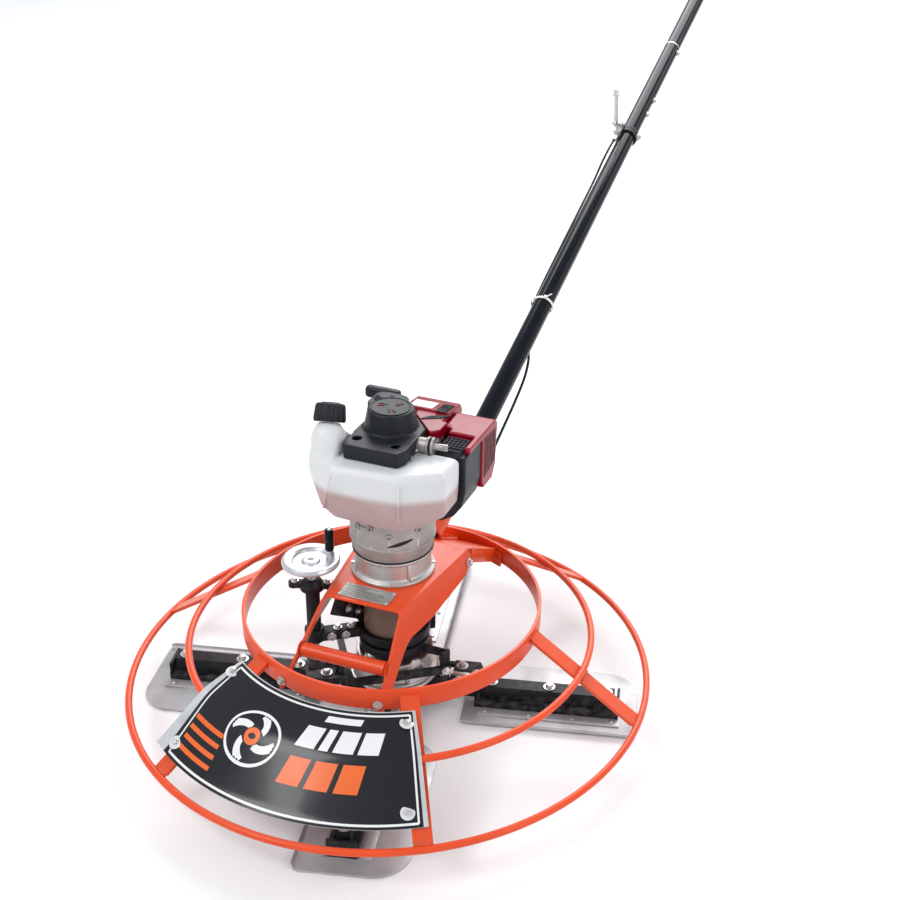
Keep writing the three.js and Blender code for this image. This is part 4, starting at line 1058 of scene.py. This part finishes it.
def build_pitch_control():
    Shape().add(upright([(16, 50.5), (65.5, 50.5), (66, 52.5), (65.5, 54.5), (16, 54.5)], 0.8, 120,
                        loop=True)).build(
        "thrust_disc", FINISH["polished"], "thrust_plate", "zinc_steel", ["thrust_plate"])
    collar = Shape().add(upright([(13.7, 55.5), (62, 55.5), (62, 59.3), (57.2, 61), (56, 63), (56, 90),
                                  (51, 90),
                                  (51, 69.5), (13.7, 69.5)], 1.1, 120, loop=True))
    azimuth = math.radians(-32)
    lug = loft([(round_rect(50, 61.5, -17, 17, 5, 4), 61),
                (round_rect(50, 60.5, -15, 15, 5, 4), 76),
                (round_rect(50, 58, -9, 9, 4, 4), 90),
                (round_rect(51, 55.8, -4, 4, 1.8, 4), 95)])
    collar.add(lug, GROUND @ Matrix.Rotation(azimuth, 4, "Z"))
    for side in (-1, 1):
        collar.add(weld([polar(58.0, azimuth + side * 0.30, 62), polar(57.6, azimuth + side * 0.26, 76),
                         polar(57, azimuth + side * 0.17, 89)], 1.7, side))
    collar.build("collar_cup", FINISH["turned"], "thrust_collar", "cast_aluminium", ["thrust_collar"])
    bearing = Shape().add(upright([(13.8, 69.5), (40, 69.5), (42, 71.5), (40, 73.5), (13.8, 73.5)], 0.8, 72,
                                  loop=True))
    bearing.build("collar_bearing", FINISH["steel"], "thrust_collar", "zinc_steel")
    dress("pitch_yoke", FINISH["black"], 1.2, 3)
    bolts("yoke_bolts", [(from_lever(-64, s * 64.4, 78), LEVER_SIDE * s) for s in (-1, 1)],
          "yoke", 8, 3, 6.5)

    foot = wheel([(0, 0), (8, 0), (9, 1.5), (9, 7.5), (8, 9), (0, 9)], 0.8, 40)
    Shape().add(foot, by_screw(85.4)).build("foot_pad", FINISH["steel"], "screw_foot", "zinc_steel",
                                            ["screw_foot"])
    thread = [(0, 94.8)]
    for k in range(70):
        thread += [(6.0, 95.2 + k * 2.15), (5.1, 96.25 + k * 2.15)]
    thread += [(5.0, 245.6), (0, 245.6)]
    screw = lathe(thread, 24)
    Shape().add(screw, by_screw()).build("screw", FINISH["zinc"], "handwheel", "zinc_steel", ["pitch_screw"],
                                         angle=20)

    bracket = Shape()
    bracket.add(upright([(44.6, 119), (51, 119), (52, 120), (52, 132), (51, 133), (44.6, 133)], 0.8, 96,
                        loop=True))
    bracket.add(beam(from_lever(48, 0, 126), from_lever(115, 0, 126), 20, 14, bevel=1.2))
    bracket.add(wheel([(6.5, 119), (14, 119), (14, 139), (12, 140), (6.5, 140)], 0.8, 48, loop=True),
                by_screw())
    bracket.add(wheel([(6.5, 126), (10, 126), (10, 206), (6.5, 206)], 0.5, 48, loop=True), by_screw())
    bracket.add(beam(at(-47.5, -6, 142), at(-49.5, -88, 203), 5, 26, Vector((0, -0.55, 0.83)), 0.8))
    bracket.add(beam(at(-46, -8, 126), at(-49, -24, 152), 12, 8))
    bracket.build("bracket", FINISH["black"], "machine", "black_painted_steel", ["pitch_bracket"])
    places = [(from_lever(72, 10.2, 126), LEVER_SIDE),
              (from_lever(92, 10.2, 126), LEVER_SIDE),
              (from_lever(62, 0, 133.2), UP), (from_lever(82, 0, 133.2), UP),
              (at(-44.6, -58, 181), (1, 0, 0)), (at(-44.6, -28, 158), (1, 0, 0))]
    bolts("bracket_bolts", places, "machine", 8, 3.6, 6.5)

    nut = Shape().add(wheel([(6.6, 206.3), (16, 206.3), (17, 207.3), (17, 214.5), (15.4, 216), (13.6, 219),
                             (11, 224),
                             (6.6, 224)], 0.9, 48, loop=True), by_screw())
    x, y = SCREW_PLACE
    ears = beam(at(x - 26, y - 8, 213), at(x + 24, y + 8, 213), 14, 8, bevel=1.6)
    nut.add(ears)
    ear_way = Vector((50, 16, 0)).normalized()
    for side in (-1, 1):
        way = ear_way * side * 25 * MM
        nut.add(wheel([(0, 0), (7.2, 0), (7.2, 8.6), (0, 8.6)], 1, 32),
                Matrix.Translation(at(x - 1, y, 208.7) + way))
    nut.build("screw_housing", FINISH["black"], "machine", "black_painted_steel", ["screw_nut"])
    ends = [(at(x - 1, y, 217.2) + ear_way * side * 23 * MM, UP) for side in (-1, 1)]
    bolts("housing_bolts", ends, "machine", 7, 3.5, 5.6)

    face = wheel([(0, 0), (13, 0), (14, 1), (14, 2), (35, 2), (40, 4.5), (40.3, 8), (38.5, 11.3), (35.5, 12),
                  (29, 11.4),
                  (25.5, 9), (23.8, 6.4), (13, 6), (12, 8.6), (9, 9.4), (4, 9.4), (3.6, 6), (0, 6)], 0.9, 96)
    disc = Shape().add(face, by_screw(WHEEL_FOOT))
    grip_turn = math.radians(58)
    grip_place = Matrix.Translation((30 * math.cos(grip_turn) * MM, 30 * math.sin(grip_turn) * MM, 0))
    post = wheel([(0, 9), (5, 9), (5, 12.6), (2.5, 12.8), (2.5, 47.5), (0, 48)], 0.3, 24)
    disc.add(post, by_screw(WHEEL_FOOT) @ grip_place)
    disc.build("wheel_disc", FINISH["polished"], "handwheel", "cast_aluminium", ["handwheel"])
    grip = wheel([(2.9, 0), (5.3, 0), (6.5, 2.5), (6.1, 9), (6.5, 20), (6.5, 31), (5.6, 33.4), (2.9, 34)],
                 0.8, 36, loop=True)
    Shape().add(grip, by_screw(WHEEL_FOOT + 13) @ grip_place).build(
        "wheel_knob", FINISH["gloss"], "wheel_grip", "black_knob_plastic", ["wheel_grip"])


# ------------------------------------------------------------------ engine
# The leaning filler neck: its foot, then the way it points.
NECK_FRAME = Matrix.Translation(at(-66, -50, 459)) @ Matrix.Rotation(math.radians(105), 4,
                                                                     "Z") @ Matrix.Rotation(
    math.radians(28), 4, "Y")


def moulded(node, voxel, smooth, name, material, body, slot, extra=None):
    """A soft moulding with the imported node's shape."""
    source = bmesh.new()
    source.from_mesh(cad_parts[node].data)
    shape = Shape().add(source)
    if extra:
        extra(shape)
    result = Shape().add(remeshed(shape, voxel, smooth))
    return result.build(name, material, body, slot, [node], angle=70)


def tank_details(shape):
    """The broad shoulder of the filler tower."""
    shape.add(wheel([(0, -30), (22, -30), (23, -12), (20.5, -2), (17, 3), (0, 3)], 2, 48), NECK_FRAME)


def swirl(height, start, count, turn, radius):
    """Three curved vanes that begin `start` metres from the starter's axis."""
    vanes = Shape()
    for k in range(3):
        path = []
        for reach in [start + 0.0012 * j for j in range(count)]:
            path.append(at(0, 0, height) + heading(TAU * k / 3 + turn + reach * 20) * reach)
        vanes.add(tube(path, radius, 8))
    return vanes


def build_engine():
    moulded("fuel_tank", 1.9, 18, "tank_shell", FINISH["tank"], "machine", "tank_plastic", tank_details)
    lines = Shape()
    for low, high in (((-56, -92.5, 362), (-40, -100, 418)), ((52, -93, 362), (52, -93.6, 418))):
        lines.add(tube([at(*low), at(*high)], 1.9, 14))
    lines.build("tank_mould_lines", FINISH["tank"], "machine", "tank_plastic", angle=70)
    ribs = [21.3 - 1.2 * (k % 6 not in (0, 1)) for k in range(108)]
    ring = lambda shrink: [((r - shrink) * math.cos(TAU * k / 108), (r - shrink) * math.sin(TAU * k / 108))
                           for k, r in enumerate(ribs)]
    cap = loft([(ring(2.0), 0), (ring(0.4), 1.0), (ring(0), 5), (ring(1.4), 20.5), (ring(2.2), 23.2),
                (ring(5.0), 25)])
    neck = NECK_FRAME @ Matrix.Translation((0, 0, 7.4 * MM))
    shape = Shape().add(cap, neck)
    shape.add(wheel([(0, 24.6), (12.5, 24.6), (12.5, 25.9), (11, 26.2), (0, 25.6)], 0.4, 48), neck)
    shape.build("cap", FINISH["moulded"], "fuel_cap", "black_plastic", ["fuel_cap"], angle=45)

    def cover_details(cover):
        cover.add(wheel([(0, 0), (12, 0), (12, 17), (9, 20), (0, 20)], 1, 40),
                  Matrix.Translation(at(-28, 40, 455)))
        cover.add(tube([at(-20, -24, 451), at(-26, 4, 451), at(-18, 30, 451)], 2.4, 12))
        cover.add(tube([at(26, -26, 451), at(32, 0, 451), at(24, 24, 451)], 2.4, 12))

    moulded("recoil_cover", 1.5, 4, "starter_cover", FINISH["moulded"], "machine", "black_plastic",
            cover_details)
    badge = Shape().add(wheel([(0, 0), (25, 0), (26.6, 0.7), (27.4, 1.9), (26.2, 2.0), (25.2, 1.1),
                               (0, 1.1)], 0.3, 72),
                        Matrix.Translation(at(0, 0, 479.4)))
    stamp(badge, swirl(480.3, 0.007, 11, 0.5, 1.0))
    badge.build("cover_badge", FINISH["moulded"], "machine", "black_plastic")
    swirl(480.5, 0.010, 8, 0.9, 1.1).build("cover_marks", FINISH["red"], "machine", "red_cover_plastic")
    for index, (x, y) in enumerate(((-26, -50), (30, -52))):
        sunk = Shape().add(wheel([(0, 0), (5, 0), (5, 2.6), (3.6, 3.4), (0, 3.4)], 0.4, 28),
                           Matrix.Translation(at(x, y, 444)))
        sunk.build(f"cover_screw_{index + 1}", FINISH["black"], "machine", "black_painted_steel")

    rough = Shape().add(prism(round_rect(-70, -18, 62, 77, 6, 6), 453, 470, 5, 4), GROUND)
    rough.add(wheel([(0, 0), (5, 0), (6.2, 14), (0, 14)], 1, 32), aim(at(-34, 52, 462.5), (0, 1, 0)))
    grip = Shape().add(remeshed(rough, 1.1, 5))
    grip.build("pull_grip", FINISH["moulded"], "starter_grip", "black_plastic", ["starter_grip"], angle=70)
    rope = [at(-34, y, 462.5) for y in (30, 42, 53)]
    Shape().add(tube(rope, 1.8, 12)).build("pull_rope", FINISH["nylon"], "starter_grip", "black_plastic")

    def head_details(cover):
        cover.add(tube([at(-8, 76, 447.2), at(46, 76, 447.2)], 1.6, 10))

    moulded("head_cover", 1.5, 5, "red_head", FINISH["red"], "machine", "red_cover_plastic", head_details)
    moulded("muffler_cover", 1.6, 5, "red_side", FINISH["red"], "machine", "red_cover_plastic")
    slots = Shape()
    slots.add(tube([at(24, 46, 445.9), at(32, 58, 445.9)], 1.5, 10))
    for k in range(1, 7):
        x, y = 26 + 4.4 * k, 52 + 2.2 * k
        slots.add(tube([at(x - 5, y - 8, 445.9), at(x + 5, y + 6, 445.9)], 1.5, 10))
    for k in range(7):
        y = 72 + 5 * k
        z = 448.3 - (y - 74) * COVER_FALL
        slots.add(tube([at(34, y, z), at(50, y, z)], 1.3, 10))
    for k in range(8):
        y = 60 + 5.7 * k
        slots.add(tube([at(111.6, y, 366 + 1.2 * k), at(111.6, y, 428 - 0.5 * k)], 1.2, 10))
    slots.build("cover_slots", FINISH["black"], "machine", "black_plastic", angle=60)
    label = bmesh.new()
    corners = [label.verts.new(at(x, y, 448.5 - (y - 74) * COVER_FALL)) for x,
               y in ((-8, 78), (26, 78), (26, 104), (-8, 104))]
    label.faces.new(corners)
    Shape().add(label).build("cover_label", FINISH["ink_white"], "machine", "red_cover_plastic")

    def filter_details(shape):
        shape.add(tube([at(86, -6.0, 408), at(86, -6.0, 370)], 2.2, 12))

    moulded("air_box", 1.6, 5, "filter_box", FINISH["moulded"], "machine", "black_plastic", filter_details)
    grid = Shape()
    for k in range(6):
        x = 71 + 5.6 * k
        grid.add(beam(at(x, 2, 433.4), at(x, 34, 433.4), 1.5, 2.4, bevel=0.4))
    for k in range(5):
        y = 5 + 6.6 * k
        grid.add(beam(at(69, y, 433.9), at(101, y, 433.9), 1.5, 2.4, bevel=0.4))
    grid.add(beam(at(64, -6.6, 398), at(108, -6.6, 398), 1.8, 3, bevel=0.6))
    for k in range(4):
        grid.add(beam(at(78 + 7 * k, -6.7, 402), at(78 + 7 * k, -6.7, 422), 1.6, 1.6, Vector((0, 1, 0)), 0.4))
    grid.build("filter_grid", FINISH["moulded"], "machine", "black_plastic")

    dress("engine_block", FINISH["cast"], 1.0, 2)
    inlet = (1, 0.1, 0)
    fitting = Shape()
    fitting.add(wheel([(0, 0), (9.5, 0), (10.5, 1.5), (10.5, 14), (12.5, 15), (12.5, 17.5), (0, 17.5)], 0.8,
                      40),
                aim(at(44, -14, 440), inlet))
    fitting.add(wheel([(0, 0), (12.2, 0), (12.2, 3), (0, 3)], 0.8, 40), aim(at(64.5, -12, 440), inlet))
    fitting.add(tube([at(66, -12, 440), at(80, -10, 440)], 4, 20))
    fitting.add(beam(at(72, -11, 440), at(86, -9, 440), 4, 9, bevel=0.8))
    fitting.add(tube(spline([at(48, -22, 436), at(40, -34, 434), at(50, -44, 432.5)], 6), 2.4, 12))
    fitting.build("throttle_body", FINISH["cast"], "machine", "cast_aluminium")
    gasket = Shape().add(wheel([(0, 0), (13.2, 0), (13.2, 2.6), (0, 2.6)], 0.5, 40),
                         aim(at(61.8, -12.3, 440), inlet))
    gasket.add(tube(spline([at(66, 2, 436), at(60, 16, 436), at(52, 20, 430)], 8), 3, 14))
    gasket.build("gasket", FINISH["moulded"], "machine", "black_plastic")
    plug = Shape()
    plug.add(wheel([(0, 0), (7.5, 0), (8, 3), (6.4, 8), (6, 24), (4, 28), (0, 28)], 1.2, 36),
             aim(at(0, 108, 385), (0, 1, 0.12)))
    plug.add(tube(spline([at(0, 130, 391), at(-10, 138, 398), at(-30, 128, 404), at(-48, 100, 404),
                          at(-54, 60, 396)], 8), 3.2, 14))
    plug.build("spark_plug_cap", FINISH["rubber"], "machine", "black_plastic")
    places = [(at(x, y, z), normal) for x, y, z, normal in (
        (-38, 59.5, 352, (0, 1, 0)), (34, 59.5, 352, (0, 1, 0)), (-56.4, 30, 400, (-1, 0, 0)),
                                                            (-56.4, 30, 350, (-1, 0, 0)))]
    bolts("block_bolts", places, "machine", 6, 3.5, 5)


# ------------------------------------------------------------------ pole, handle and throttle
def build_pole():
    stations = [POLE["start"] + (POLE["joint"] - POLE["start"]) * k / 12 for k in range(13)]
    lower = Shape().add(tube([beside_pole(y) for y in stations], POLE["radius"], 48))
    lower.build("pole_tube", FINISH["gloss"], "machine", "gloss_black_tube", ["pole"], angle=50)
    sleeve = carved(tube([beside_pole(122), beside_pole(180), beside_pole(238)], POLE["radius"] + 4.5, 48),
                    [(tube([beside_pole(110), beside_pole(180), beside_pole(260)], POLE["radius"] + 0.4, 48),
                      Matrix())])
    socket = Shape().add(sleeve)
    for side in (-1, 1):
        line = [at(side * (18 + 1.5 * math.sin(k)), 128 + 11 * k,
                   rear_height(128 + 11 * k) + 1.5) for k in range(7)]
        socket.add(weld(line, 2.6, side))
    socket.build("pole_sleeve", FINISH["orange"], "machine", "orange_powder_coat", ["pole_socket"], angle=45)

    bar_place = beside_pole(POLE["end"])
    foot = POLE["joint"] + 0.5
    stations = [beside_pole(foot + (POLE["end"] - foot) * k / 6) for k in range(7)]
    upper = Shape().add(tube(stations, POLE["radius"], 48))
    reach = HANDLE_REACH * MM
    upper.add(tube([bar_place + Vector((x * reach, 0, 0)) for x in (-1, -0.5, 0, 0.5, 1)], 12.5, 36))
    for side in (-1, 1):
        ring = []
        for t in [math.pi * (k / 24 - 0.5) for k in range(25)]:
            drop = POLE_WAY * 0.0115 * (1 + 0.15 * math.cos(2 * t))
            rise = POLE_WAY.cross(Vector((1, 0, 0))) * 0.0168 * math.sin(t)
            ring.append(bar_place + Vector((side * (0.0168 * math.cos(t)), 0, 0)) - drop + rise)
        upper.add(weld(ring, 2.2, side))
    upper.build("handle_tube", FINISH["gloss"], "machine", "gloss_black_tube", ["handle_bar"], angle=50)
    for name, side in (("grip_left", -1), ("grip_right", 1)):
        profile = [(12.7, 0), (18.4, 0), (18.8, 2.5), (17.2, 5)]
        for k in range(13):
            x = 10 + 8.2 * k
            profile += [(15.4, x), (16.5, x + 1.6), (16.5, x + 5.4), (15.4, x + 7)]
        profile += [(16.4, 121), (16.4, 126.5), (14.5, 128), (0, 128), (0, 125.5), (12.7, 125.5)]
        start = bar_place + Vector((side * 140 * MM, 0, 0))
        Shape().add(wheel(profile, 0.5, 48, loop=True, steps=2), aim(start, (side, 0, 0))).build(
            name + "_sleeve", FINISH["rubber"], "machine", "grip_rubber", [name])

    joint = Shape()
    ring = [beside_pole(POLE["joint"] + 0.3 + d) for d in (-1.6, 0, 1.6)]
    joint.add(tube(ring, POLE["radius"] + 0.9, 48))
    joint.build("joint_ring", FINISH["zinc"], "machine", "zinc_steel", angle=50)
    places = [(beside_pole(y, POLE["radius"] + 0.2, 0), (1, 0, 0)) for y in (1490, 1298, 1246)]
    places += [(beside_pole(1462, 0, -POLE["radius"] - 0.2), -POLE_WAY.cross(Vector((-1, 0, 0))))]
    places += [(beside_pole(225, 0, 21.6), POLE_UP)]
    bolts("pole_bolts", places, "machine", 8, 4.5, 6.5)


CABLE = [  # points beside the pole (y, across, above), then plain points down to the carburettor
    (1137, -15, 16), (1105, -17, 17), (1055, -19.5, 12), (1000, -20.5, 4), (900, -20.5, 2), (800, -20.6, 0),
    (700, -20.8, -3), (640, -20, -7), (600, -17, -15), (565, -7, -23),
]
CABLE_DROP = [(12, 535, 342), (20, 495, 322), (21, 442, 295), (21, 363, 261), (24, 300, 240), (34, 240, 246),
              (36, 180, 286), (30, 140, 340), (22, 118, 372)]


def build_throttle():
    y = THROTTLE_Y
    band = Shape()
    for d in (-9, 0):
        hoop = carved(tube([beside_pole(y + d + 0.4), beside_pole(y + d + 8.6)], POLE["radius"] + 4, 64),
                      [(tube([beside_pole(y + d - 5), beside_pole(y + d + 14)], POLE["radius"] + 0.2, 64),
                        Matrix())])
        band.add(hoop)
    band.build("throttle_band", FINISH["black"], "machine", "black_painted_steel")
    band = Shape()
    band.add(beam(beside_pole(y - 26, -15, 16), beside_pole(y + 10, -15, 16), 12, 18, POLE_UP, 1.6))
    band.add(beam(beside_pole(y - 8, -13, 20), beside_pole(y + 8, -13, 20), 4, 22, POLE_UP, 1.2))
    band.add(tube([beside_pole(y, -29, 26), beside_pole(y, -8, 26)], 2.6, 20))
    band.add(beam(beside_pole(y - 7, 20, 0), beside_pole(y + 7, 20, 0), 9, 12, POLE_UP, 1.5))
    band.build("throttle_mount", FINISH["cast"], "machine", "cast_aluminium", ["throttle_clamp"])
    places = [(beside_pole(y, -29, 26), (-1, 0, 0)), (beside_pole(y, 24.6, 0), (1, 0, 0)),
              (beside_pole(y - 16, -21.2, 16), (-1, 0, 0))]
    bolts("throttle_bolts", places, "machine", 7, 3, 5)

    lever = Shape()
    pivot = beside_pole(y, 0, 26)
    to_side = lambda x, forward, up: Vector((x * MM, pivot.y + forward * MM, pivot.z + up * MM))
    lever.add(wheel([(2.9, 0), (8.5, 0), (8.5, 4), (2.9, 4)], 0.6, 40, loop=True),
              aim(to_side(-27.5, 0, 0), (1, 0, 0)))
    bends = ((0, 3), (-2.5, 16), (-6, 34), (-9.5, 50), (-12, 62))
    path = spline([to_side(-25.5, *bend) for bend in bends], 6)
    for a, b in zip(path, path[1:]):
        lever.add(beam(a, b + (b - a) * 0.15, 8.4, 4.6, Vector((0, 1, 0)), 0.7))
    lever.add(tube([to_side(-31, -12, 62), to_side(-20, -12, 62)], 5.5, 28))
    lever.add(wheel([(0, 0), (4.6, 0), (5.4, 5), (5.4, 10), (3.5, 14), (0, 15)], 0.9, 28),
              aim(to_side(-25.5, -11, 58), (0, -0.2, 1)))
    lever.build("throttle_handle", FINISH["zinc"], "throttle_lever", "zinc_steel", ["throttle_lever"])

    route = [beside_pole(y, x, z) for y, x, z in CABLE] + [at(*p) for p in CABLE_DROP]
    Shape().add(tube(spline(route, 12), 2.4, 12)).build(
        "cable", FINISH["ribbed"], "machine", "cable_sheath", ["throttle_cable"], angle=60)
    ends = Shape()
    first = route[1] - route[0]
    ends.add(tube([route[0] - first * 0.25, route[0] + first * 0.35], 4.2, 24))
    ends.add(tube([route[0] + first * 0.38, route[0] + first * 0.52], 5.4, 6))
    last = route[-1] - route[-2]
    ends.add(tube([route[-1] - last * 0.5, route[-1]], 3.6, 20))
    ends.build("cable_ends", FINISH["zinc"], "machine", "zinc_steel", angle=40)

    tie = [beside_pole(TIE_Y, 18.9 * math.cos(t),
                       18.3 * math.sin(t)) for t in [TAU * k / 60 for k in range(60)]]
    tie = [p + Vector((-3.2 * MM if p.x < -0.012 else 0, 0, 0)) for p in tie]
    mesh = bmesh.new()
    rows = []
    for point in tie:
        out = (point - beside_pole(TIE_Y)).normalized() * 0.7 * MM
        wide = POLE_WAY * 2.4 * MM
        rows.append([mesh.verts.new(point + c) for c in (-wide - out, wide - out, wide + out, -wide + out)])
    strap = Shape().add(skin(mesh, rows + rows[:1], capped=False))
    strap.add(block(6, 6.5, 4.6, 0.8), aim(beside_pole(TIE_Y, 6, 17.2), POLE_UP))
    strap.add(beam(beside_pole(TIE_Y, 8, 20.4), beside_pole(TIE_Y + 6, 17, 24), 2.4, 1.2, POLE_UP, 0.3))
    strap.build("pole_strap", FINISH["nylon"], "machine", "tank_plastic", angle=50)


place_camera()
build_studio()
build_cage()
build_panel()
build_frame()
build_drive()
build_rotor()
build_pitch_control()
build_engine()
build_pole()
build_throttle()

{"cad": CAD_BOUNDS, "visual": [list(corner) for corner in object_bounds()]}
